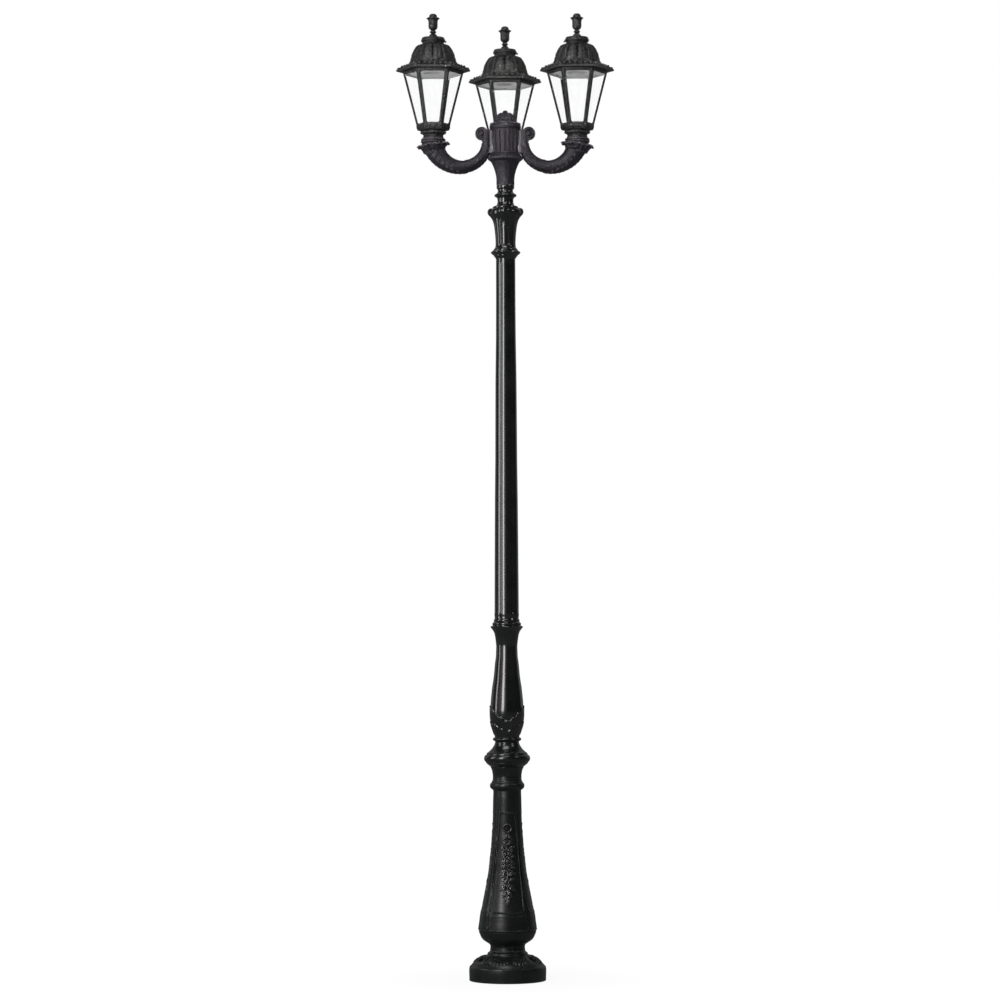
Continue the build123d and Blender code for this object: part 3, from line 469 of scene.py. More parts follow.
def ped_relief(T, R, Z):
    d = np.abs(wrap(T, PI / 2))
    half = np.arcsin(np.clip(panel_half(Z) / R, 0, 0.97))
    e = (d - half) * R
    corner = (np.abs(d) * R - (half * R - 9)) * 0.7 + (P_LOW + 9 - Z) * 0.7 - 6.5
    s = np.maximum(np.maximum(e, np.maximum(Z - P_TOP, P_LOW - Z)), corner)
    face = (1 - ease(40.4, 41.6, np.degrees(d))) * ease(175.2, 176.6, Z)
    h = 0.8 * face - 1.3 * ease(146, 166, Z) * (1 - ease(175.2, 176.4, Z))
    behind = np.abs(wrap(T - PI / 2, 2 * PI)) < PI / 4
    sink = np.where(behind, 2.3, 0.9 + 1.4 * ease(P_LOW + 4, P_LOW + 80, Z) * (1 - 0.6 * ease(P_TOP - 80, P_TOP, Z)))
    h = h - sink * (1 - ease(-1.2, 0.0, s))                       # sunk ground
    level = (Z > P_TOP - 2) | (Z < P_LOW + 11)
    h = h + np.where(level, 2.4, 0.8) * np.exp(-(((s - 1.6) / 1.5) ** 2))    # thin raised frame
    h = h + 0.6 * np.exp(-(((Z - 227) / 1.4) ** 2)) * face
    h = h + 1.1 * np.exp(-(((Z - 178.2) / 1.3) ** 2)) * face
    h = h * (1 - 0.62 * ease(0.62, 0.9, np.abs(np.cos(T))) * ease(186, 200, Z))
    g = np.abs((d - PI / 4) * R)                                  # corner reeds
    top = 1 - ease(588, 596, Z)
    low = ease(184, 190, Z)
    h = h - 0.4 * (1 - ease(0.8, 2.8, g)) * top * low
    tongue = np.sqrt(np.clip(1 - (g / 3.6) ** 2 - ((Z - 186) / 6.0) ** 2, 0, 1))
    h = h + 2.0 * tongue
    return h * (1 - ease(640, 650, Z))


zs = np.unique(np.round(np.concatenate([
    np.arange(103, 126, 3.0), np.arange(126, 174, 2.0), np.arange(174.4, 181.6, 0.5), np.arange(182, 200, 1.6),
    np.arange(200, 222, 3.0), np.arange(224, 230.2, 0.7), np.arange(232, 236, 2.0), P_LOW + np.arange(-5, 2.1, 0.5),
    np.arange(248, 576, 4.5), P_TOP + np.arange(-2, 8.1, 0.6), np.arange(594, 654, 5.0),
    np.arange(656, 702.1, 0.8)]), 2))
keep = np.r_[True, np.diff(zs) > 0.28]
zs = zs[keep]
zs[-1] = 702.0
ped_path = np.stack([ped_radius(zs), zs], -1)
rows = []
for r, z in ped_path:
    half = math.asin(min(panel_half(z) / r, 0.97)) if z < 600 else math.asin(min(24 / r, 0.97))
    mm = 1.0 / r
    q = np.concatenate([np.linspace(0, half - 1.9 * mm, 9), half + np.array([-1.1, -0.5, 0.1, 0.9, 2.0, 2.8, 3.6]) * mm,
                        half + np.array([4.9, 5.9, 7.0]) * mm, np.linspace(half + 8.4 * mm, PI / 4 - 7.6 * mm, 3),
                        PI / 4 - np.array([6.2, 4.4, 3.4, 2.6, 1.9, 1.1, 0.0]) * mm])
    q = np.maximum.accumulate(q)
    sector = np.concatenate([-q[:0:-1], q[:-1]])
    rows.append(np.concatenate([sector + k * PI / 2 for k in range(4)]))
inner = path_of(ped_inner, 14)
rows += [rows[-1]] * len(inner)
ped = revolved(np.concatenate([ped_path, inner]), np.array(rows), ped_relief, len(ped_path))
ped_ob = make("pedestal_casting", ped, "post", post_satin, ["pedestal"])


def rounded_block(hw, z0, z1, rr, y0, y1):
    """A closed block with rounded corners seen along Y."""
    pts = []
    for cx, cz, a0 in ((hw - rr, z1 - rr, 0), (-hw + rr, z1 - rr, 90), (-hw + rr, z0 + rr, 180), (hw - rr, z0 + rr, 270)):
        for a in np.linspace(a0, a0 + 90, 7):
            pts.append((cx + rr * math.cos(rad(a)), cz + rr * math.sin(rad(a))))
    pts = np.array(pts)
    c = pts.mean(0)
    rings = [np.stack([c[0] + (pts[:, 0] - c[0]) * k, np.full(len(pts), y), c[1] + (pts[:, 1] - c[1]) * k], -1)
             for y, k in ((y0, 0.001), (y0, 1), (y1, 1), (y1, 0.001))]
    return np.concatenate(rings), grid_faces(4, len(pts), 0, True, False)[:, ::-1]


cut(ped_ob, [rounded_block(30, 264, 388, 6, 20, 130)])


# ------------------------------------------------------- rose vine in relief
def vine_height(X, Z):
    """Height of the vine over the sunk ground, in millimetres."""
    H = np.zeros_like(X)

    def stem(points, r, top):
        nonlocal H
        p = path_of(points, 1.0, 170)
        d = np.full(X.shape, 1e9)
        for a, b in zip(p[:-1], p[1:]):
            ab = b - a
            t = np.clip(((X - a[0]) * ab[0] + (Z - a[1]) * ab[1]) / max(ab @ ab, 1e-9), 0, 1)
            d = np.minimum(d, np.hypot(X - a[0] - t * ab[0], Z - a[1] - t * ab[1]))
        H = np.maximum(H, top * np.sqrt(np.clip(1 - (d / r) ** 2, 0, 1)))

    def foliage(x0, z0, deg, length, width, top=3.2, teeth=4):
        nonlocal H
        c, s = math.cos(rad(deg)), math.sin(rad(deg))
        a = ((X - x0) * c + (Z - z0) * s) / length
        b = (-(X - x0) * s + (Z - z0) * c)
        aa = np.clip(a, 0, 1)
        env = width * np.sin(PI * aa**0.72) ** 0.85
        env = env * (1 - 0.20 * (1 - np.abs(np.sin(PI * (aa * teeth + 0.25 * np.abs(b) / width)))))
        q = np.clip(np.abs(b) / np.maximum(env, 0.2), 0, 1)
        h = (0.55 + 0.45 * np.sqrt(1 - q**2)) * ease(0, 0.25, 1 - q)
        h = h - 0.22 * np.exp(-((b / 0.9) ** 2)) + 0.12 * np.cos(2 * PI * (aa * teeth - 0.5 * q)) * q
        h = top * h * (0.65 + 0.35 * np.sin(PI * aa)) * ((a > 0) & (a < 1) & (q < 1))
        H = np.maximum(H, h)

    def rose(x0, z0, r, top=4.6, turn=0.0):
        nonlocal H
        rho = np.hypot(X - x0, Z - z0) / r
        phi = np.arctan2(Z - z0, X - x0) + turn
        petals = 1 - 0.10 * (1 - np.abs(np.cos(2.5 * phi)))
        q = rho / petals
        fold = (q * 2.6 - phi / (2 * PI)) % 1.0
        h = np.sqrt(np.clip(1 - (q * 0.93) ** 2, 0, 1)) * (0.72 + 0.28 * fold**0.7)
        h = h - 0.25 * np.exp(-((rho / 0.16) ** 2))
        H = np.maximum(H, top * h * (q < 1) * ease(0, 0.12, 1 - q))

    def ring(x0, z0, r, w, top):
        nonlocal H
        d = np.abs(np.hypot((X - x0) * 1.05, Z - z0) - r)
        H = np.maximum(H, top * np.sqrt(np.clip(1 - (d / w) ** 2, 0, 1)))

    stem([(0, 515), (-2, 500), (2, 482), (-2, 464), (1, 440), (-1, 415), (2, 392), (0, 365), (-1, 340), (1, 315), (0, 290),
          (0, 270)], 2.6, 3.6)
    ring(0, 531, 13.5, 3.8, 5.4)
    rose(1, 515, 7.0, 5.6, 0.4)
    for x, z, d, l, w in ((-1, 509, 232, 30, 8.0), (1, 509, -52, 28, 7.4), (-2, 488, 215, 20, 6.4), (2, 488, -35, 20, 6.4),
                          (-2, 476, 150, 16, 5.6), (2, 476, 30, 16, 5.6),
                          (-8, 462, 160, 18, 6.4), (8, 462, 20, 18, 6.4), (-8, 438, 200, 18, 6.4), (8, 438, -20, 18, 6.4),
                          (-2, 420, 212, 30, 8.6), (2, 420, -32, 30, 8.6), (-2, 404, 206, 31, 8.8), (2, 404, -26, 31, 8.8),
                          (-2, 387, 212, 32, 9.0), (2, 387, -32, 32, 9.0), (-2, 369, 160, 24, 7.8), (2, 369, 20, 24, 7.8),
                          (-3, 336, 222, 34, 9.4), (3, 336, -42, 34, 9.4), (-3, 352, 172, 24, 7.4), (3, 352, 8, 24, 7.4),
                          (-1, 318, 238, 30, 8.0), (1, 318, -58, 30, 8.0), (0, 300, 244, 24, 6.4), (0, 300, -64, 24, 6.4),
                          (0, 286, 250, 16, 4.8), (0, 286, -70, 16, 4.8)):
        foliage(x, z, d, l, w, 4.2, 3)
    rose(-3, 472, 5.6, 5.0, 0.2)
    rose(-15, 455, 8.0, 5.6, 1.4)
    rose(0, 455, 8.4, 6.0, 2.3)
    rose(13, 453, 7.4, 5.4, 3.6)
    rose(7, 441, 8.6, 5.8, 4.4)
    rose(-9, 441, 7.4, 5.4, 5.1)
    rose(-11, 427, 8.0, 5.8, 0.9)
    rose(8, 426, 8.0, 5.8, 2.9)
    rose(-1, 430, 5.6, 5.0, 2.0)
    rose(0, 346, 12.0, 6.4, 2.0)
    rose(-17, 357, 5.6, 4.6, 1.0)
    rose(17, 357, 5.6, 4.6, 2.6)
    rose(0, 269, 4.6, 4.6, 0.0)
    return 1.35 * H


vx = np.arange(-34, 34.01, 0.8)
vz = np.arange(258, 552.01, 0.8)
VX, VZ = np.meshgrid(vx, vz, indexing="xy")
VH = vine_height(VX, VZ)


def relief_patch(H, turn, mask):
    """A closed relief on the pedestal's sunk ground, from the masked cells of the height grid."""
    m, n = H.shape
    r = ped_radius(VZ) - 1.5
    solid = (H > 0.35) & mask
    cells = solid[:-1, :-1] | solid[1:, :-1] | solid[:-1, 1:] | solid[1:, 1:]
    cells &= mask[:-1, :-1] & mask[1:, :-1] & mask[:-1, 1:] & mask[1:, 1:]
    th = np.arcsin(np.clip(VX / r, -0.95, 0.95)) + rad(turn)
    vs = []
    for k in (np.where(H > 0.35, H, 0.05), np.full(H.shape, -0.7)):
        vs.append(np.stack([(r + k) * np.cos(th), (r + k) * np.sin(th), VZ], -1).reshape(-1, 3))
    v = np.concatenate(vs)
    idx = np.arange(m * n).reshape(m, n)
    a, b, c, d = idx[:-1, :-1], idx[:-1, 1:], idx[1:, 1:], idx[1:, :-1]
    top = np.stack([a, b, c, d], -1)[cells]
    bot = top[:, ::-1] + m * n
    pad = np.pad(cells, 1)
    core = pad[1:-1, 1:-1]
    walls = []
    for dm, dn, p, q in ((-1, 0, a, b), (1, 0, c, d), (0, -1, d, a), (0, 1, b, c)):
        edge = core & ~pad[1 + dm:1 + dm + cells.shape[0], 1 + dn:1 + dn + cells.shape[1]]
        walls.append(np.stack([q[edge], p[edge], p[edge] + m * n, q[edge] + m * n], -1))
    f = np.concatenate([top, bot, *walls])
    used, inv = np.unique(f, return_inverse=True)
    return v[used], inv.reshape(f.shape)


everywhere = np.ones(VH.shape, bool)
for name, turn, depth in (("front", -90, 1.15), ("right", 0, 0.42), ("left", 180, 0.42)):
    make(name + "_panel_vine", relief_patch(VH * depth, turn, everywhere), "post", vine_gloss_painted_highlight, angle=60)
above = VZ > 391.5
make("rear_panel_vine", relief_patch(VH, 90, above), "post", vine_gloss_painted_highlight, angle=60)
on_door = (VZ > 267) & (VZ < 385) & (np.abs(VX) < 27) & (np.hypot(VX, VZ - 362) > 12.5)
make("door_vine", relief_patch(VH, 90, on_door), "service_door", vine_gloss_painted_highlight, angle=60)

# -------------------------------------------------------------------- knop
knop_outer = path_of([(50.4, 702), (50.2, 709), (52.0, 724), (54.5, 734), (57.5, 740), (57.5, 742), (63.9, 747), (71.2, 753),
                      (73.5, 755.5), (73.5, 757.5), (77.6, 761.5), (80.3, 768), (80.3, 774), (77.5, 780.5), (72.5, 784),
                      (71.5, 787.5), (62, 796), (54.8, 803), (49.5, 810), (45.3, 817), (43, 823), (41.6, 827), (42.2, 830.4),
                      (46.2, 832.5), (49.4, 835.6), (50, 838.4), (48.4, 841.4), (44.8, 843.6), (43, 845)], 1.1, 40)
knop_inner = path_of([(29.8, 845), (29.8, 857), (25, 857), (25, 820), (36, 800), (36, 702)], 12)


def knop_relief(T, R, Z):
    d = wrap(T - rad(22.5), PI / 4) / (PI / 8)
    v = (824 - Z) / 38.0
    up = (Z > 784) & (Z < 826)
    return np.where(up, 0.2 * ease(0, 0.12, v) * np.exp(-((np.abs(d) / (0.75 * (1.02 - np.clip(v, 0, 1)) + 0.05)) ** 6)), 0)


make("knop_casting", revolved(np.concatenate([knop_outer, knop_inner[1:]]), around(288), knop_relief, len(knop_outer)),
     "post", post_semi, ["knop"])

# ---------------------------------------------------------------- baluster
bal_outer = path_of([(43, 845), (43.6, 852), (45.2, 859), (47.6, 866), (50, 873), (52.5, 880), (55.6, 894), (57.6, 908),
                     (58.6, 922), (58.8, 936), (58.4, 950), (57.4, 960), (56, 978), (53.9, 999), (51.5, 1020), (48.1, 1041),
                     (45.3, 1062), (43.4, 1083), (41.3, 1104), (38.5, 1125), (37.6, 1146), (37.3, 1167), (38.9, 1181),
                     (40.8, 1195), (44.1, 1209), (47.6, 1216), (52.7, 1223), (56.6, 1228.4), (57, 1229.6), (56.4, 1230.8),
                     (49.8, 1233.4), (49.2, 1236), (50.4, 1239.5), (49.6, 1243), (46.2, 1245.5), (44.6, 1248), (45.2, 1251),
                     (44.6, 1254.5), (42.6, 1257), (42.2, 1260)], 2.2, 44)
bal_inner = path_of([(36, 1260), (36, 1272), (30, 1272), (30, 845)], 30)


def baluster_relief(T, R, Z):
    """Faint flutes above; below, two layers of leaves dipping to the front and back."""
    d = wrap(T - rad(22.5), PI / 4)
    ends = (1 - ease(1176, 1190, Z)) * ease(935, 960, Z)
    h = -0.28 * np.clip(1 - (d / rad(20)) ** 2, 0, 1) * ends
    c = np.abs(np.cos(T))
    jag = np.abs(np.sin(9 * T))
    rim = 899 + 51 * c**1.5 + 7.0 * jag**0.8
    up = ease(848, 858, Z)
    h = h + 2.0 * (1 - ease(rim - 2.0, rim, Z)) * up
    h = h + 2.0 * np.exp(-(((Z - rim + 5.0) / 3.4) ** 2)) * jag**2
    low = 864 + 34 * c**1.4 + 6.0 * np.abs(np.sin(6 * T)) ** 0.8
    h = h + 1.2 * (1 - ease(low - 2.0, low, Z)) * up
    h = h + 1.8 * np.exp(-(((Z - low + 4.5) / 3.2) ** 2)) * np.sin(6 * T) ** 2
    return h


bal_z = bal_outer[:, 1]
cup_z = np.arange(860, 962, 1.1)
cup_r = np.interp(cup_z, bal_z, bal_outer[:, 0])
bal_outer = np.concatenate([bal_outer[bal_z < 859.4], np.stack([cup_r, cup_z], -1), bal_outer[bal_z > 962.4]])
make("baluster_casting", revolved(np.concatenate([bal_outer, bal_inner[1:]]), around(320), baluster_relief, len(bal_outer)),
     "post", post_gloss, ["baluster"])

# ------------------------------------------------------------------- shaft
shaft_line = [(42.2, 1260), (42.0, 1328), (40.8, 1538), (39.9, 1678), (38.2, 1818), (37.6, 1958), (36.8, 2098), (34.7, 2238),
              (34.0, 2378), (33.8, 2511), (33.8, 2518)]
zs = np.unique(np.concatenate([np.arange(1260, 1268, 4.0), np.arange(1268, 1304, 1.2), np.arange(1304, 2484, 20.0),
                               np.arange(2484, 2513, 1.2), [2515.0, 2518.0]]))
shaft_path = np.stack([at(shaft_line, zs) + 0.8 * ease(1262, 1275, zs) * (1 - ease(2500, 2512, zs)), zs], -1)
FLUTE_LOW, FLUTE_TOP = 1284.0, 2500.0


def flutes(T, R, Z):
    d = wrap(T, PI / 3)
    over = np.maximum(np.maximum(FLUTE_LOW - Z, Z - FLUTE_TOP), 0)
    cutter = np.sqrt(np.clip(16.0**2 - over**2, 0, None))
    far = R + 16.0 - 2.4
    root = cutter**2 - (far * np.sin(d)) ** 2
    hit = far * np.cos(d) - np.sqrt(np.clip(root, 0, None))
    return np.where((root > 0) & (hit < R), hit - R, 0.0)


fl = np.sort(np.concatenate([around(6) + rad(x) for x in
                             np.concatenate([np.linspace(-9, 9, 13), [-12.5, -11.6, -10.8, -10.0, 10.0, 10.8, 11.6, 12.5],
                                             np.linspace(14, 46, 14)])]))
fl = np.unique(np.round(fl, 6))
make("shaft_tube", revolved(np.concatenate([shaft_path, np.array([[28.3, 2518.0], [36.3, 1260.0]])]), fl, flutes,
                            len(shaft_path)), "post", post_gloss, ["shaft"], angle=50)

# ----------------------------------------------------------------- capital
cap_outer = path_of([(33.8, 2518), (34.6, 2521), (37.0, 2524.4), (38.6, 2527.2), (41.8, 2529.4), (42.4, 2532.4), (45.8, 2534.8),
                      (49.8, 2538.4), (51.9, 2541.4), (51.5, 2543.8), (48.2, 2546.2), (45.2, 2547.6), (45.0, 2549.8),
                      (42.0, 2551.6), (41.4, 2554.2), (38.4, 2557.0), (36.2, 2562), (35.0, 2568), (34.8, 2580), (35.6, 2596),
                      (37.0, 2612), (38.8, 2628), (40.6, 2642), (43.2, 2654), (47.0, 2664), (51.4, 2672), (54.2, 2680),
                      (53.4, 2688), (49.4, 2694.4), (45.2, 2697.4), (45.4, 2699.4), (45.0, 2702.4), (42.0, 2704.4),
                      (36, 2706.6), (31, 2709.4), (29.6, 2714)], 1.4, 44)
cap_inner = path_of([(14.2, 2714), (14.2, 2690), (28, 2690), (28, 2518)], 25)


def bell_reeds(T, R, Z):
    """Broad, soft leaves standing round the bell, with a bead at the foot of each."""
    env = ease(2562, 2574, Z) * (1 - ease(2660, 2684, Z))
    d = np.abs(wrap(T + rad(96), PI / 4))
    h = env * (0.5 * np.cos(8 * (T + rad(96))) - 1.0 * np.exp(-(((d - rad(22.5)) * R / 1.3) ** 2)))
    foot = np.hypot(wrap(T + rad(64), PI / 4) * R / 4.4, (Z - 2568) / 3.4)
    return h + 2.2 * np.sqrt(np.clip(1 - foot**2, 0, 1))


capital_parts = [revolved(np.concatenate([cap_outer, cap_inner[1:]]), around(288), bell_reeds, len(cap_outer))]
big_spine = [(38.0, 2622), (40.8, 2640), (44.0, 2652), (48.6, 2662), (54.0, 2669.4), (59.2, 2674.6), (62.6, 2680.6),
             (63.0, 2687.6), (60.4, 2694.2), (55.0, 2698.0), (48.6, 2698.6), (43.0, 2694.0), (40.0, 2690.0)]
for k in range(4):
    capital_parts.append(turned(leaf(big_spine, 21.0, 10.0, nu=21, nv=72, lobes=2, depth=0.04, camber=4.4, rib=0.5, vein=0.0,
                                     base=0.62, swell=0.42, slim=14), 90 * k - 96))
make("capital_casting", joined(*capital_parts), "post", post_gloss, ["capital"])

# ------------------------------------------------------------------ spigot
spig_outer = path_of([(29.4, 2714), (28.4, 2717), (28.0, 2724), (28.4, 2731), (30.4, 2735.4), (34.6, 2738.6), (38.4, 2740.8),
                      (39.4, 2743.0), (38.0, 2745.6), (33.6, 2748.4), (29.4, 2752), (27.0, 2756.4), (26.6, 2761),
                      (27.4, 2764.6), (29.4, 2766.6), (30.6, 2768), (31.2, 2771), (31.2, 2777)], 1.0, 44)
spig_inner = path_of([(22, 2777), (22, 2862), (14.2, 2862), (14.2, 2714)], 25)


def spigot_relief(T, R, Z):
    """Eight soft petals round the ring, and shallow hollows below it."""
    d = wrap(T + rad(110), PI / 4) / (PI / 8)
    petal = np.sqrt(np.clip(1 - (d * 0.97) ** 2, 0, 1))
    h = (1.5 * petal - 1.1) * ease(2735, 2740, Z) * (1 - ease(2748, 2754, Z))
    h = h + (0.8 * petal - 0.6) * ease(2717, 2722, Z) * (1 - ease(2730, 2735, Z))
    return h + (0.6 * petal - 0.4) * ease(2763, 2766, Z) * (1 - ease(2770, 2772, Z))


make("spigot_casting", revolved(np.concatenate([spig_outer, spig_inner[1:]]), around(240), spigot_relief, len(spig_outer)),
     "post", post_gloss, ["spigot"])

# ---------------------------------------------------------------- hub body
hub_outer = path_of([(30.5, 2779), (31.4, 2779.6), (31.6, 2784), (31.9, 2798), (33.2, 2812), (36.4, 2826), (40.6, 2840),
                     (46.4, 2853.5), (50.5, 2861.5), (51.5, 2863), (55.5, 2865.5), (56.5, 2867), (60.4, 2869.5), (61.4, 2873),
                     (60.8, 2877.5), (57, 2881), (56, 2884), (50.5, 2887), (48.6, 2888.6), (47.9, 2890.5), (47.9, 2973.6),
                     (47.5, 2975)], 1.8, 44)
hub_inner = path_of([(38, 2975), (38, 2870), (14.2, 2870), (14.2, 2862), (22.2, 2862), (22.2, 2779)], 30)


def hub_relief(T, R, Z):
    d = wrap(T + PI / 2, rad(22.5)) * R
    over = np.maximum(np.maximum(2897 - Z, Z - 2967), 0)
    w = np.sqrt(np.clip(3.1**2 - over**2, 0, None))
    h = -5.0 * np.sqrt(np.clip(1 - (d / np.maximum(w, 1e-3)) ** 2, 0, 1)) * (w > 0.2) * (Z > 2890)
    # a fillet line down the middle of each reed, and soft facets on the cone
    m = np.abs(wrap(T + PI / 2 + rad(11.25), rad(22.5)) * R)
    h = h + 0.8 * (1 - ease(0.9, 2.2, m)) * ease(2895, 2900, Z) * (1 - ease(2964, 2969, Z))
    cone = ease(2786, 2800, Z) * (1 - ease(2855, 2863, Z))
    f = np.abs(wrap(T + PI / 2, PI / 4)) / (PI / 8)
    h = h + cone * (0.9 * f**2 - 0.3)
    h = h + 1.2 * np.abs(np.cos(16 * T)) ** 0.6 * ease(2868.5, 2870, Z) * (1 - ease(2876, 2878, Z)) - 0.6 * (Z > 2868) * (Z < 2880)
    return h


hub_ob = make("hub_casting", revolved(np.concatenate([hub_outer, hub_inner[1:]]), around(384), hub_relief, len(hub_outer)),
              "post", bracket_cast, ["hub_body"])
cut(hub_ob, [rod((15 * math.cos(rad(a)), 15 * math.sin(rad(a)), 2796), (math.cos(rad(a)), math.sin(rad(a)), 0), 3.05, 30, 24)
             for a in (90, 210, 330)])

# ----------------------------------------------------------------- hub cap
cap_top = path_of([(33, 2992), (33, 2967), (37.6, 2967), (37.6, 2975), (49.5, 2975), (52.6, 2976.2), (54.8, 2980),
                   (55.4, 2985), (54.6, 2990), (51.8, 2993.6), (49.4, 2995), (48.6, 2997.0), (44.6, 2998.4), (40.2, 3000.6),
                   (37.4, 3004), (35.0, 3009), (32.2, 3014.6), (29.0, 3020), (25.2, 3025.0), (20.8, 3028.8), (16.0, 3031.2),
                   (13.0, 3033.0), (11.8, 3035.4), (9.6, 3036.8), (8.2, 3038.0), (8.4, 3040.2), (6.6, 3042.2), (3.4, 3043.3),
                   (0, 3043.5)], 1.3, 44)
cap_under = np.array([[0.0, 2992.0], [33.0, 2992.0]])


def dome_relief(T, R, Z):
    d = wrap(T + PI / 2 + rad(22.5), PI / 4) / (PI / 8)
    v = (3033 - Z) / 32.0
    on = (R > 13) & (Z > 2999.5) & (R < 46)
    return np.where(on, 3.6 * carved(d, 1 - np.clip(v, 0, 1) * 0.98, lobes=3, depth=0.3, taper=3.0, veins=0.9), 0)


v, f = revolved(np.concatenate([cap_under, cap_top[1:]]), around(288), dome_relief, None, False)
extra = [bead((52.2 * math.cos(t), 52.2 * math.sin(t), 2995.5), 2.3, 8) for t in around(44)]
make("hub_cap_casting", joined((v, f), *extra), "post", bracket_cast, ["hub_cap"], weld=True)

# -------------------------------------------------------------------- arms
# Shaped once along +X and turned to the three places.
SECTIONS = np.array([(180, 83.2, 18.5), (205, 84.0, 19.5), (230, 85.0, 21.0), (255, 86.8, 22.6), (280, 89.5, 25.0),
                     (305, 93.5, 28.5), (328, 98.5, 33.0), (350, 103.5, 38.5), (356, 104.8, 40.2)])
al = np.concatenate([np.full(14, 180.0), np.linspace(180, 356, 190)[1:]])
zs0 = np.concatenate([np.linspace(2976, 2933, 14), np.zeros(189)])
dist = np.interp(al, SECTIONS[:, 0], SECTIONS[:, 1])
tube = np.interp(al, SECTIONS[:, 0], SECTIONS[:, 2])
# ease the straight-line steps between the sections
for _ in range(30):
    dist[15:-1] = (dist[14:-2] + dist[15:-1] * 2 + dist[16:]) / 4
    tube[15:-1] = (tube[14:-2] + tube[15:-1] * 2 + tube[16:]) / 4
ar = np.radians(al)
cx = 147.4 + dist * np.cos(ar)
cz = 2933.0 + dist * np.sin(ar)
cz[:14] = zs0[:14]
NPHI = 132
phi = around(NPHI)
AL, PH = np.meshgrid(al, phi, indexing="ij")
run = np.r_[0, np.cumsum(np.hypot(np.diff(cx), np.diff(cz)))]
RUN = np.broadcast_to(run[:, None], AL.shape)
F = np.degrees(wrap(PH, 2 * PI))                                     # 0 on the outside of the bend
TB = np.broadcast_to(tube[:, None], AL.shape)
va = (353 - AL) / 92.0                                               # big leaf, from the cup to under the bend
leaf_a = carved(F / 84.0, va, lobes=9, depth=0.24, taper=2.4, veins=0.7)
vb = (AL - 183 + (run[14] - RUN) * (AL <= 180.01) * 0.6) / 84.0      # smaller leaf, from the drum down to the bend
G = np.degrees(wrap(PH - PI, 2 * PI))
leaf_b = carved(G / 80.0, np.where(AL <= 180.01, 0.02, vb), lobes=8, depth=0.26, taper=2.2, veins=0.7)
vc = (AL - 186) / 74.0
leaf_c = carved(F / 66.0, vc, lobes=7, depth=0.26, taper=2.0, veins=0.6)
H = 3.2 * leaf_a + 2.2 * leaf_b * (1 - leaf_a) + 2.0 * leaf_c * (leaf_a < 0.02)
along = ease(192, 205, AL) * (1 - ease(338, 350, AL))
for at_deg, deep in ((32, 1.7), (64, 1.3)):
    H = H - deep * np.exp(-(((np.abs(F) - at_deg) / 4.5) ** 2)) * along
H = H + 1.5 * (np.abs(np.sin(PI * RUN / 12.0)) - 0.6) * (1 - ease(20, 34, np.abs(F))) * along
for sgn in (-90, 90):
    x = np.radians(F - sgn) * TB
    s = wrap(RUN, 8.4)
    on = (AL > 190) & (AL < 292)
    H = np.maximum(H, np.where(on, 2.7 * np.sqrt(np.clip(1 - (x**2 + s**2) / 3.4**2, 0, 1)), 0))
    line = np.exp(-(((np.abs(x) - 4.6) / 0.9) ** 2)) * ((AL > 188) & (AL < 294))
    H = H + 0.8 * line
inner_scallop = np.abs(np.sin(PI * RUN / 12.0)) * ease(118, 150, np.abs(F)) * ((AL > 182) & (AL < 320))
H = H + 0.9 * inner_scallop
rho = TB + 0.9 * H - 2.4
e1x, e1z = np.cos(ar)[:, None], np.sin(ar)[:, None]
tx = cx[:, None] + rho * np.cos(PH) * e1x
ty = rho * np.sin(PH)
tz = cz[:, None] + rho * np.cos(PH) * e1z
tx = np.maximum(tx, np.sqrt(np.clip(48.15**2 - np.clip(ty, -47, 47) ** 2, 0, None)))
tz = np.minimum(tz, 2996)
tv = np.stack([tx, ty, tz], -1)
caps = [np.broadcast_to(tv[0].mean(0), tv[0].shape), np.broadcast_to(tv[-1].mean(0), tv[-1].shape)]
tv = np.concatenate([caps[0][None], tv, caps[1][None]])
tube_part = (tv.reshape(-1, 3), grid_faces(len(tv), NPHI, 0, True, False)[:, ::-1])

cup = path_of([(0, 2899), (30, 2899), (38.5, 2904), (42.5, 2910), (43, 2917), (41.6, 2922), (40.4, 2926), (40.8, 2929),
               (43.2, 2930.6), (44.2, 2933), (43.4, 2935.6), (41.8, 2936.6), (42.8, 2938.4), (43.2, 2941.4), (41.8, 2943.5),
               (0, 2943.5)], 1.8, 44)
cup_part = turned(revolved(cup, around(120), None, None, False), 0, (253, 0, 0))
collar = []
collar_spine = [(34, 2896), (37.4, 2902.5), (41.2, 2908.5), (45.2, 2913.6), (48.8, 2917.4), (51.8, 2919.6), (53.8, 2919.4),
                (54.2, 2917.6)]
for k in range(8):
    lf = leaf(collar_spine, 17.5, 9.0, nu=15, nv=44, lobes=2, depth=0.10, camber=3.4, rib=1.2, vein=-0.4, base=0.66,
              swell=0.5, slim=8)
    lv, ff = turned(lf, 16 + 45 * k)
    lv = lv.copy()
    lv[:, 2] -= math.tan(rad(7.5)) * lv[:, 0] + 1.0
    collar.append((lv + np.array([253.0, 0, 0]), ff))
    lf = leaf([(r - 1.5, z + 1.5) for r, z in collar_spine[:6]], 9.0, 2.4, nu=9, nv=30, lobes=3, depth=0.2, camber=1.0,
              rib=0.8, vein=-0.5, base=0.6, swell=0.5, slim=6)
    lv, ff = turned(lf, 38.5 + 45 * k)
    lv = lv.copy()
    lv[:, 2] -= math.tan(rad(7.5)) * lv[:, 0]
    collar.append((lv + np.array([253.0, 0, 0]), ff))

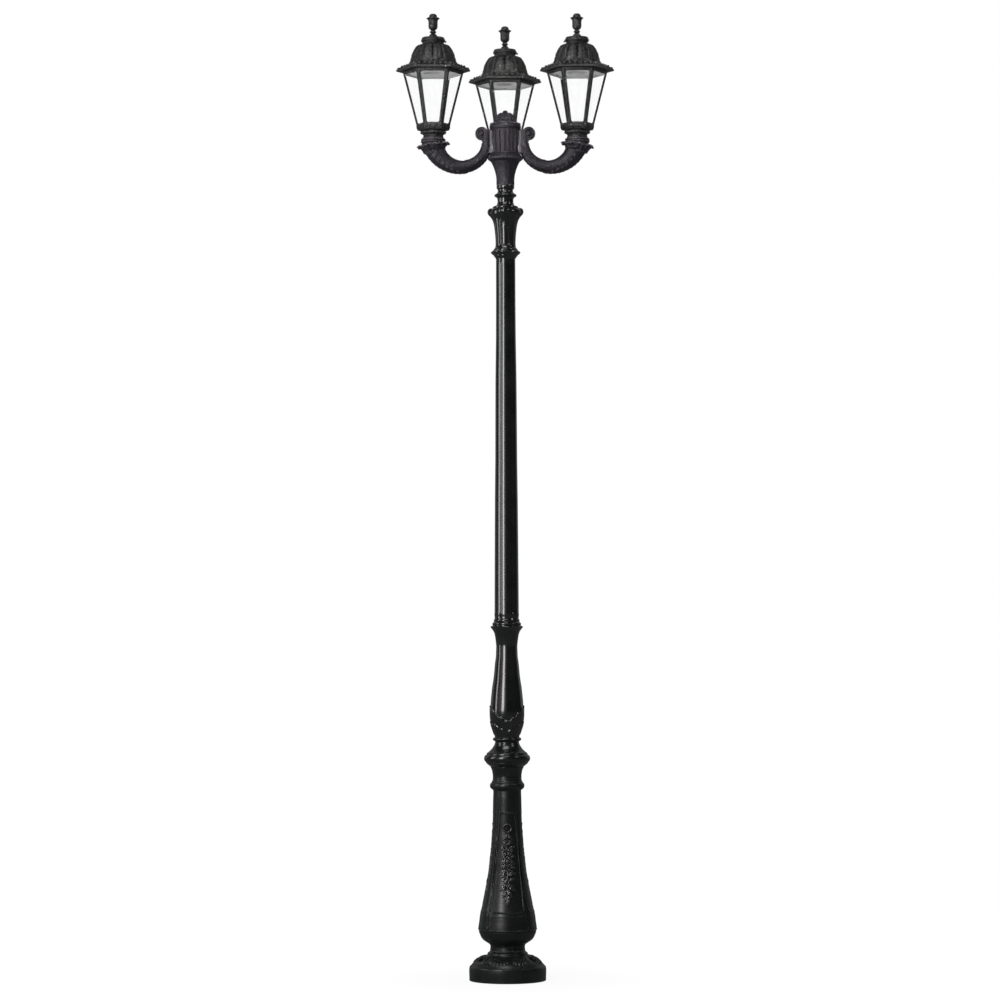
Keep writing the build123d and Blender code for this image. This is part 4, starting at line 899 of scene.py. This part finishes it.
scroll = path_of([(0, -17.4), (4.4, -16.8), (6.8, -15.0), (7.6, -12.6), (9.4, -12.0), (19.6, -13.4), (21.6, -12.4),
                  (22.4, -9.8), (21.2, -7.6), (21.0, 0), (21.2, 7.6), (22.4, 9.8), (21.6, 12.4), (19.6, 13.4), (9.4, 12.0),
                  (7.6, 12.6), (6.8, 15.0), (4.4, 16.8), (0, 17.4)], 0.9, 60)


def scroll_relief(T, R, Z):
    q = ((R - 7.8) / 6.4 + (T - rad(200)) / (2 * PI)) % 1.0
    on = (np.abs(Z) > 11) * ease(8.0, 9.0, R) * (1 - ease(19.8, 20.8, R))
    h = on * 4.0 * (np.exp(-(((q - 0.5) / 0.20) ** 2)) - 0.35)
    rim = (R > 20.5) & (np.abs(Z) > 8)
    return h + np.where(rim, 1.3 * np.abs(np.cos(15 * T)) ** 0.8 - 0.4, 0) + np.where((R > 20.5) & (np.abs(Z) < 7),
                                                                                     0.9 * np.cos(24 * T), 0)


v, f = revolved(scroll, around(180), scroll_relief, None, False)
v = np.stack([v[:, 0], v[:, 2], -v[:, 1]], -1) + np.array([82.6, 0, 2962.0])
scroll_part = (v, f)
# pad against the drum
ys = np.array([-13, -12.4, -11, -6, 0, 6, 11, 12.4, 13.0])
face = [0, 1.6, 2.2, 2.4, 2.4, 2.4, 2.2, 1.6, 0]
rows = []
for z, k in ((2893.5, 0.0), (2893.5, 0.55), (2895, 1.0), (2930, 1.0), (2971, 1.0), (2972.5, 0.55), (2972.5, 0.0)):
    near = np.stack([np.sqrt(48.1**2 - ys**2), ys, np.full(9, z)], -1)
    far = np.stack([60 + np.array(face), ys, np.full(9, z)], -1)[::-1]
    ring = np.concatenate([near, far])
    if k < 1:
        mid = ring.mean(0)
        ring = mid + (ring - mid) * (0.96 if k else 0.001)
        ring[:, 2] = z
    rows.append(ring)
pad_part = (np.concatenate(rows), grid_faces(len(rows), 18, 0, True, False)[:, ::-1])
arm = joined(tube_part, cup_part, *collar, scroll_part, pad_part)
for side, turn in (("left", 180), ("right", 0), ("rear", 90)):
    ob = make(side + "_arm_casting", turned(arm, turn), "post", bracket_cast, [side + "_arm"], weld=True)
    bm = bmesh.new()
    bm.from_mesh(ob.data)
    bmesh.ops.recalc_face_normals(bm, faces=bm.faces)
    bm.to_mesh(ob.data)
    bm.free()

# ---------------------------------------------------------------- lanterns
places = {"left": (-253.0, 0.0, 0), "right": (253.0, 0.0, 180), "rear": (0.0, 253.0, 0)}


def six(T):
    """Radius of a regular hexagon with corners at 0, 60 degrees and so on, its corner radius being 1."""
    return math.cos(PI / 6) / np.cos(wrap(T - PI / 6, PI / 3))


SIL = [(86.5, 3208), (82.0, 3214), (79.4, 3219), (77.6, 3224), (75.6, 3233), (72.6, 3243), (68.4, 3252), (63.6, 3260.5),
       (58.6, 3268), (51.0, 3274.5), (43.6, 3277.2), (38.6, 3278.6)]
roof_pts = [(127, 3181.3), (130.2, 3182.4), (130.7, 3184.2), (129.2, 3187.6), (127.0, 3190.8), (124.6, 3192.0), (119.0, 3192.6),
            (111, 3194.6), (103, 3197.8), (96, 3201.6), (91, 3205)]
roof_pts += [(r * (1.0 + 0.062 * float(ease(3206, 3220, z)) * (1 - 0.8 * float(ease(3262, 3278, z)))), z) for r, z in SIL]
roof_pts += [(35.4, 3279.6), (35, 3281), (35, 3292)]
roof_out = path_of(roof_pts, 1.7, 44)
roof_in = path_of([(32, 3292), (32, 3267), (48, 3267), (57.5, 3258), (63.5, 3245), (69.5, 3227), (72.5, 3216), (78, 3205),
                   (84, 3195), (84, 3181.3), (127, 3181.3)], 7, 30)[:-1]
roof_path = np.concatenate([roof_out, roof_in])
hexness = np.ones(len(roof_path))
rz = roof_out[:, 1]
hexness[:len(roof_out)] = (1 - 0.62 * ease(3202, 3220, rz)) * (1 - ease(3258, 3277, rz))
hexness[len(roof_out):] = np.where(roof_in[:, 0] < 33, 0.0, 1.0)
rounded = np.where(roof_path[:, 0] < 36, 1.0, 0.97)


def roof_relief(T, R, Z):
    d = wrap(T - PI / 12, PI / 6) / (PI / 12)                  # twelve lobes, two to a face
    env = ease(3206, 3222, Z) * (1 - ease(3268, 3277, Z))
    q = np.abs(d)
    full = 0.62 + 0.38 * ease(3222, 3250, Z)
    lobe = np.sqrt(np.clip(1 - (q / (0.99 - 0.10 * ease(3215, 3206, Z))) ** 2, 0, 1))
    s = (Z - 3206) / 15.0
    scallop = np.abs(np.sin(PI * (s + 0.35 * q)))
    h = env * (full * (8.2 * lobe - 6.0) + 1.5 * (scallop - 0.6) * ease(0.2, 0.7, q)
               - 0.6 * np.exp(-((q / 0.12) ** 2)) * ease(3214, 3226, Z))
    # the lower end of each lobe rounds under, with a small leaf tip between
    h = h + 2.2 * ease(0.55, 1.0, q) * ease(3203, 3206, Z) * (1 - ease(3212, 3219, Z)) * (1 - ease(0.90, 1.0, q))
    # a ribbed leaf over each corner of the eaves
    c = np.abs(wrap(T, PI / 3)) * R
    out = ease(86, 92, R) * (1 - ease(126.5, 129.5, R)) * (Z > 3191.6)
    wide = 10.5 * (1 - 0.24 * (1 - np.abs(np.sin(PI * (R - 86) / 13.0))))
    h = h + out * 3.4 * (1 - ease(wide - 2.6, wide, c)) * (0.85 + 0.25 * np.exp(-((c / 1.6) ** 2)))
    return h


tt = np.unique(np.round(np.concatenate([around(6) + rad(x) for x in np.concatenate([
    np.linspace(-5.6, 5.6, 15), np.linspace(7, 23, 13), np.linspace(24.4, 35.6, 15), np.linspace(37, 53, 13)])]) % (2 * PI), 6))
hx = hexness[:, None]
roof_v, roof_f = revolved(roof_path, tt, roof_relief, len(roof_out),
                          shape=lambda T, p: hx * six(T) + (1 - hx) * rounded[:, None])
beads = []
for k in range(6):
    a = rad(30 + 60 * k)
    n = np.array([math.cos(a), math.sin(a)])
    t = np.array([-math.sin(a), math.cos(a)])
    for j in range(6):
        p = n * (114.5 * math.cos(PI / 6)) + t * ((j - 2.5) * 18.6)
        beads.append(bead((p[0], p[1], 3198.0), 4.5, 12))
roof_part = joined((roof_v, roof_f), *beads)

cap_path = path_of([(35.7, 3280), (37.4, 3280), (38.2, 3283.4), (40.4, 3286.2), (42.2, 3288.6), (42.8, 3291.6), (42.2, 3294.4),
                    (40.2, 3295.8), (39.4, 3297.0), (39.8, 3299.2), (38.4, 3301.2), (34, 3302.0), (26, 3302.4), (20, 3303.2),
                    (16, 3304), (4.05, 3304), (4.05, 3292.5), (35.7, 3292.5), (35.7, 3280)], 1.1, 44)[:-1]
cap_part = revolved(cap_path, around(96), None)

fin_path = path_of([(0, 3293), (4.0, 3293), (4.0, 3304), (12.4, 3304), (13.4, 3306.2), (13.0, 3309.6), (11.2, 3312.6),
                    (8.4, 3314.8), (6.8, 3316.4), (9.4, 3318.2), (11.8, 3320.8), (10.8, 3323.6), (7.4, 3325.6), (7.0, 3327.4),
                    (10.4, 3330), (13.6, 3333.6), (15.4, 3338.4), (15.7, 3345), (15.7, 3353), (16.2, 3360), (18.4, 3365.0),
                    (22.0, 3368.0), (23.4, 3369.8), (22.6, 3371.4), (18.0, 3372.0), (14.6, 3372.4), (13.8, 3376),
                    (12.8, 3380.2), (10.6, 3383.4), (7.2, 3385.4), (3.0, 3386.3), (0, 3386.5)], 0.9, 46)


def finial_relief(T, R, Z):
    d = wrap(T + PI / 2, PI / 4) / (PI / 8)
    h = ease(3330, 3335, Z) * (1 - ease(3359, 3363, Z)) * (1.6 * np.sqrt(np.clip(1 - (d * 0.95) ** 2, 0, 1)) - 1.1)
    h = h + ease(3305, 3306, Z) * (1 - ease(3310, 3312, Z)) * 0.5 * np.cos(12 * T)
    h = h + ease(3373, 3375, Z) * (1 - ease(3381, 3384, Z)) * (1.2 * np.sqrt(np.clip(1 - (d * 0.95) ** 2, 0, 1)) - 0.9)
    return h


def finial_petals(T, p):
    flange = np.clip((p[:, 0] - 15.6) / 6.0, 0, 1) * (p[:, 1] > 3361) * (p[:, 1] < 3372.3)
    return 1 - 0.20 * flange[:, None] * (1 - np.abs(np.cos(4 * T)) ** 0.7)


fin_part = revolved(fin_path, around(120), finial_relief, None, False, shape=finial_petals)

gal_round = path_of([(5.2, 2943.5), (35, 2943.5), (36.4, 2944.8), (36.6, 2948.6), (35.0, 2951), (34.4, 2955), (36.4, 2959),
                     (40.4, 2961.4), (43.6, 2961.8), (45.0, 2963.6), (45.0, 2967.4), (43.6, 2969.4), (43.6, 2971.4),
                     (47.4, 2972.2), (54.6, 2973.2), (56.2, 2975), (57.4, 2978.4), (58.6, 2980.2), (59.2, 2986),
                     (59.7, 2993)], 1.6, 40)
gal_in = path_of([(24, 2993), (24, 2949), (5.2, 2949)], 5, 40)
gal_path = np.concatenate([gal_round, gal_in])
gal_hex = np.where((gal_path[:, 1] > 2970) & (gal_path[:, 0] > 30), ease(44.5, 52, gal_path[:, 0]), 0.0)
gal_hex[len(gal_round):] = 0


def gallery_relief(T, R, Z):
    d = wrap(T - PI / 6, PI / 3) / (PI / 6)
    face = ease(2978, 2981, Z)
    # a shallow shield on each face of the skirt, and petals under it
    shield = (1 - ease(0.50, 0.62, np.abs(d) + 0.35 * (2993 - Z) / 15.0))
    h = 1.1 * face * shield * (R > 50)
    p = wrap(T - PI / 12, PI / 6) / (PI / 12)
    h = h + (Z > 2949) * (Z < 2961) * (R > 30) * (1.3 * np.sqrt(np.clip(1 - (p * 0.95) ** 2, 0, 1)) - 0.6)
    h = h + (Z > 2962) * (Z < 2969.4) * (R > 40) * 0.6 * np.cos(24 * T)
    return h


gh = gal_hex[:, None]
gal_part = revolved(gal_path, around(240), gallery_relief, len(gal_round), shape=lambda T, p: gh * six(T) + (1 - gh))

for side, (px, py, turn) in places.items():
    place = (px, py, 0)
    make(side + "_roof_casting", turned(roof_part, turn, place), "post", lantern_paint, [side + "_roof"],
         weld=True)
    make(side + "_gallery_casting", turned(gal_part, turn, place), "post", lantern_paint,
         [side + "_gallery"])
    ob = make(side + "_cap_disc", turned(cap_part, turn, place), side + "_cap", lantern_paint,
              [side + "_cap"])
    d = 1 if turn == 0 else -1
    cut(ob, [rod((px + d * 30, py, 3287), (d, 0, 0), 2.08, 20, 20)])
    make(side + "_finial_casting", turned(fin_part, turn, place), side + "_cap", lantern_paint,
         [side + "_finial"], weld=True)

cut(foot_ob, tools)

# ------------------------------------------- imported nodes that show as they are
finish_of = {"cage": lantern_paint, "panes": clear_pane, "reflector": reflector_grey, "nipple": zinc_steel,
             "nipple_nut": zinc_steel, "lamp_holder": lamp_ceramic, "screw_shell": contact_brass, "roof_screws": zinc_steel,
             "cap_screw": dark_screw}
singles = {"service_door": post_satin, "door_lock": dark_screw, "gear_plate": zinc_steel, "terminal_block": block_plastic,
           "earth_stud": contact_brass, "tie_tube": zinc_steel, "tie_nuts": zinc_steel, "hub_screws": dark_screw,
           "arm_screws": zinc_steel}
for name, ob in nodes.items():
    if ob.hide_render:
        continue
    tail = name.split("_", 1)[1] if name.split("_", 1)[0] in places else name
    mat = singles.get(name) or finish_of.get(tail)
    if mat is None:
        continue
    ob.data.materials.clear()
    ob.data.materials.append(mat)
    if tail == "cage":
        ob.data.materials.append(reflector_grey)                    # the pale coat goes down inside the top rail
        co = np.array([v.co for v in ob.data.vertices])
        mid, high = (co.min(0) + co.max(0)) / 2, co[:, 2].max()
        for poly in ob.data.polygons:
            c, n = poly.center, poly.normal
            out = (n.x * (c.x - mid[0]) + n.y * (c.y - mid[1])) / max(math.hypot(c.x - mid[0], c.y - mid[1]), 1e-6)
            if c.z > high - 0.016 and out < -0.3:
                poly.material_index = 1
    if "custom_normal" in ob.data.attributes:
        ob.data.attributes.remove(ob.data.attributes["custom_normal"])
    weld = ob.modifiers.new("weld", "WELD")
    weld.merge_threshold = 1e-6
    if tail in ("cage", "service_door", "cap_screw", "terminal_block", "gear_plate", "reflector"):
        bev = ob.modifiers.new("edges", "BEVEL")
        bev.width = {"cage": 0.0009, "service_door": 0.0008}.get(tail, 0.0004)
        bev.segments = 2
        bev.limit_method = "ANGLE"
        bev.angle_limit = rad(32)
        bev.harden_normals = False
    ob.data.polygons.foreach_set("use_smooth", np.ones(len(ob.data.polygons), bool))
    ob.data.set_sharp_from_angle(angle=rad(38))

# ------------------------------------------------------------ stage and light
me = bpy.data.meshes.new("floor")
me.from_pydata([(-60, -30, 0), (60, -30, 0), (60, 90, 0), (-60, 90, 0)], [], [(0, 1, 2, 3)])
floor = bpy.data.objects.new("floor", me)
bpy.context.scene.collection.objects.link(floor)
pale = bpy.data.materials.new("pale_floor")
pale.use_nodes = True
nt = pale.node_tree
nt.nodes.clear()
o = nt.nodes.new("ShaderNodeOutputMaterial")
lp = nt.nodes.new("ShaderNodeLightPath")
co = nt.nodes.new("ShaderNodeTexCoord")
# painted shade: the floor's glow seen by the camera dims from 1.0 to 0.93 towards the foot, a soft darker pool round
# the post
away = nt.nodes.new("ShaderNodeVectorMath")
away.operation = "LENGTH"
nt.links.new(co.outputs["Object"], away.inputs[0])
foot_shade_fade = nt.nodes.new("ShaderNodeMapRange")
foot_shade_fade.inputs["From Min"].default_value, foot_shade_fade.inputs["From Max"].default_value = 0.15, 0.9
foot_shade_fade.inputs["To Min"].default_value, foot_shade_fade.inputs["To Max"].default_value = 0.93, 1.0
nt.links.new(away.outputs["Value"], foot_shade_fade.inputs["Value"])
glow = nt.nodes.new("ShaderNodeEmission")
glow.inputs["Color"].default_value = (1, 1, 1, 1)
nt.links.new(foot_shade_fade.outputs["Result"], glow.inputs["Strength"])
dif = nt.nodes.new("ShaderNodeBsdfDiffuse")
dif.inputs["Color"].default_value = (0.05, 0.05, 0.05, 1)
add = nt.nodes.new("ShaderNodeAddShader")
nt.links.new(glow.outputs[0], add.inputs[0])
nt.links.new(dif.outputs[0], add.inputs[1])
dark = nt.nodes.new("ShaderNodeEmission")
dark.inputs["Color"].default_value, dark.inputs["Strength"].default_value = (1, 1, 1, 1), 0.10
lift = nt.nodes.new("ShaderNodeEmission")
lift.inputs["Color"].default_value, lift.inputs["Strength"].default_value = (1, 1, 1, 1), 0.85
kind = nt.nodes.new("ShaderNodeMixShader")
nt.links.new(lp.outputs["Is Glossy Ray"], kind.inputs[0])
nt.links.new(lift.outputs[0], kind.inputs[1])
nt.links.new(dark.outputs[0], kind.inputs[2])
pick = nt.nodes.new("ShaderNodeMixShader")
nt.links.new(lp.outputs["Is Camera Ray"], pick.inputs[0])
nt.links.new(kind.outputs[0], pick.inputs[1])
nt.links.new(add.outputs[0], pick.inputs[2])
nt.links.new(pick.outputs[0], o.inputs["Surface"])
me.materials.append(pale)

world = bpy.data.worlds.new("studio")
bpy.context.scene.world = world
world.use_nodes = True
nt = world.node_tree
nt.nodes.clear()
o = nt.nodes.new("ShaderNodeOutputWorld")
co = nt.nodes.new("ShaderNodeTexCoord")
sep = nt.nodes.new("ShaderNodeSeparateXYZ")
nt.links.new(co.outputs["Generated"], sep.inputs[0])
mr = nt.nodes.new("ShaderNodeMapRange")
mr.inputs["From Min"].default_value, mr.inputs["From Max"].default_value = 0.32, 0.62
mr.inputs["To Min"].default_value, mr.inputs["To Max"].default_value = 0.012, 0.32
nt.links.new(sep.outputs["Y"], mr.inputs["Value"])
far = nt.nodes.new("ShaderNodeMapRange")
far.inputs["From Min"].default_value, far.inputs["From Max"].default_value = 0.72, 0.96
far.inputs["To Min"].default_value, far.inputs["To Max"].default_value = 1.0, 0.4
nt.links.new(sep.outputs["Y"], far.inputs["Value"])
rim = nt.nodes.new("ShaderNodeMath")
rim.operation = "MULTIPLY"
nt.links.new(mr.outputs["Result"], rim.inputs[0])
nt.links.new(far.outputs["Result"], rim.inputs[1])
up = nt.nodes.new("ShaderNodeMapRange")
up.inputs["From Min"].default_value, up.inputs["From Max"].default_value = 0.25, 1.0
up.inputs["To Min"].default_value, up.inputs["To Max"].default_value = 0.10, 0.55
nt.links.new(sep.outputs["Z"], up.inputs["Value"])
lp = nt.nodes.new("ShaderNodeLightPath")
kind = nt.nodes.new("ShaderNodeMix")
kind.data_type = "FLOAT"
nt.links.new(lp.outputs["Is Glossy Ray"], kind.inputs[0])
nt.links.new(up.outputs["Result"], kind.inputs[2])
nt.links.new(rim.outputs[0], kind.inputs[3])
tocam = nt.nodes.new("ShaderNodeMix")
tocam.data_type = "FLOAT"
nt.links.new(lp.outputs["Is Camera Ray"], tocam.inputs[0])
nt.links.new(kind.outputs[0], tocam.inputs[2])
tocam.inputs[3].default_value = 1.0
bg = nt.nodes.new("ShaderNodeBackground")
bg.inputs["Color"].default_value = (1, 1, 1, 1)
nt.links.new(tocam.outputs[0], bg.inputs["Strength"])
# a broad, soft, faintly purple patch seen only in reflections, left of the camera
aim = nt.nodes.new("ShaderNodeVectorMath")
aim.operation = "DOT_PRODUCT"
aim.inputs[1].default_value = (-0.588, -0.809, 0.0)
nt.links.new(co.outputs["Generated"], aim.inputs[0])
lobe = nt.nodes.new("ShaderNodeMapRange")
lobe.interpolation_type = "SMOOTHSTEP"
lobe.inputs["From Min"].default_value, lobe.inputs["From Max"].default_value = 0.80, 0.975
lobe.inputs["To Min"].default_value, lobe.inputs["To Max"].default_value = 0.0, 0.62
nt.links.new(aim.outputs["Value"], lobe.inputs["Value"])
only = nt.nodes.new("ShaderNodeMath")
only.operation = "MULTIPLY"
nt.links.new(lobe.outputs["Result"], only.inputs[0])
nt.links.new(lp.outputs["Is Glossy Ray"], only.inputs[1])
patch = nt.nodes.new("ShaderNodeBackground")
patch.inputs["Color"].default_value = (1.0, 0.80, 0.94, 1)
nt.links.new(only.outputs[0], patch.inputs["Strength"])
sky = nt.nodes.new("ShaderNodeAddShader")
nt.links.new(bg.outputs[0], sky.inputs[0])
nt.links.new(patch.outputs[0], sky.inputs[1])
nt.links.new(sky.outputs[0], o.inputs["Surface"])


def softbox(name, where, towards, wide, tall, power):
    li = bpy.data.lights.new(name, "AREA")
    li.shape, li.size, li.size_y, li.energy = "RECTANGLE", wide, tall, power
    ob = bpy.data.objects.new(name, li)
    bpy.context.scene.collection.objects.link(ob)
    ob.location = where
    ob.rotation_euler = (Vector(towards) - Vector(where)).to_track_quat("-Z", "Y").to_euler()
    ob.visible_camera = False
    return ob


# two tall lights on the camera's left, smaller ones above
softbox("front", (0.1, -4.6, 4.1), (0, 0, 3.15), 0.30, 0.22, 0.45).data.spread = rad(9)
softbox("key", (-1.9, -3.3, 2.6), (0, 0, 2.4), 1.0, 3.4, 92)
softbox("side", (-3.74, -0.66, 2.6), (0, 0, 2.4), 0.9, 3.4, 40)
softbox("fill", (3.3, -1.8, 4.4), (0, 0, 2.6), 1.0, 1.0, 18)
softbox("top", (-0.6, -2.2, 5.6), (0, 0, 2.6), 2.4, 1.6, 60)

# ------------------------------------------------------------------- camera
LENS, DIST, EYE, PITCH, ROLL = 120.4, 11.7, 1.24, 2.121, -0.165
cam_data = bpy.data.cameras.new("camera")
cam_data.sensor_width, cam_data.lens = 36.0, LENS
cam_data.clip_start, cam_data.clip_end = 0.1, 400.0
cam = bpy.data.objects.new("camera", cam_data)
bpy.context.scene.collection.objects.link(cam)
cam.matrix_world = (Matrix.Translation((-0.0222, -DIST, EYE)) @ Matrix.Rotation(rad(90 + PITCH), 4, "X")
                    @ Matrix.Rotation(rad(ROLL), 4, "Z"))
bpy.context.scene.camera = cam

bpy.context.scene.view_settings.view_transform = "Standard"
bpy.context.scene.view_settings.look = "None"
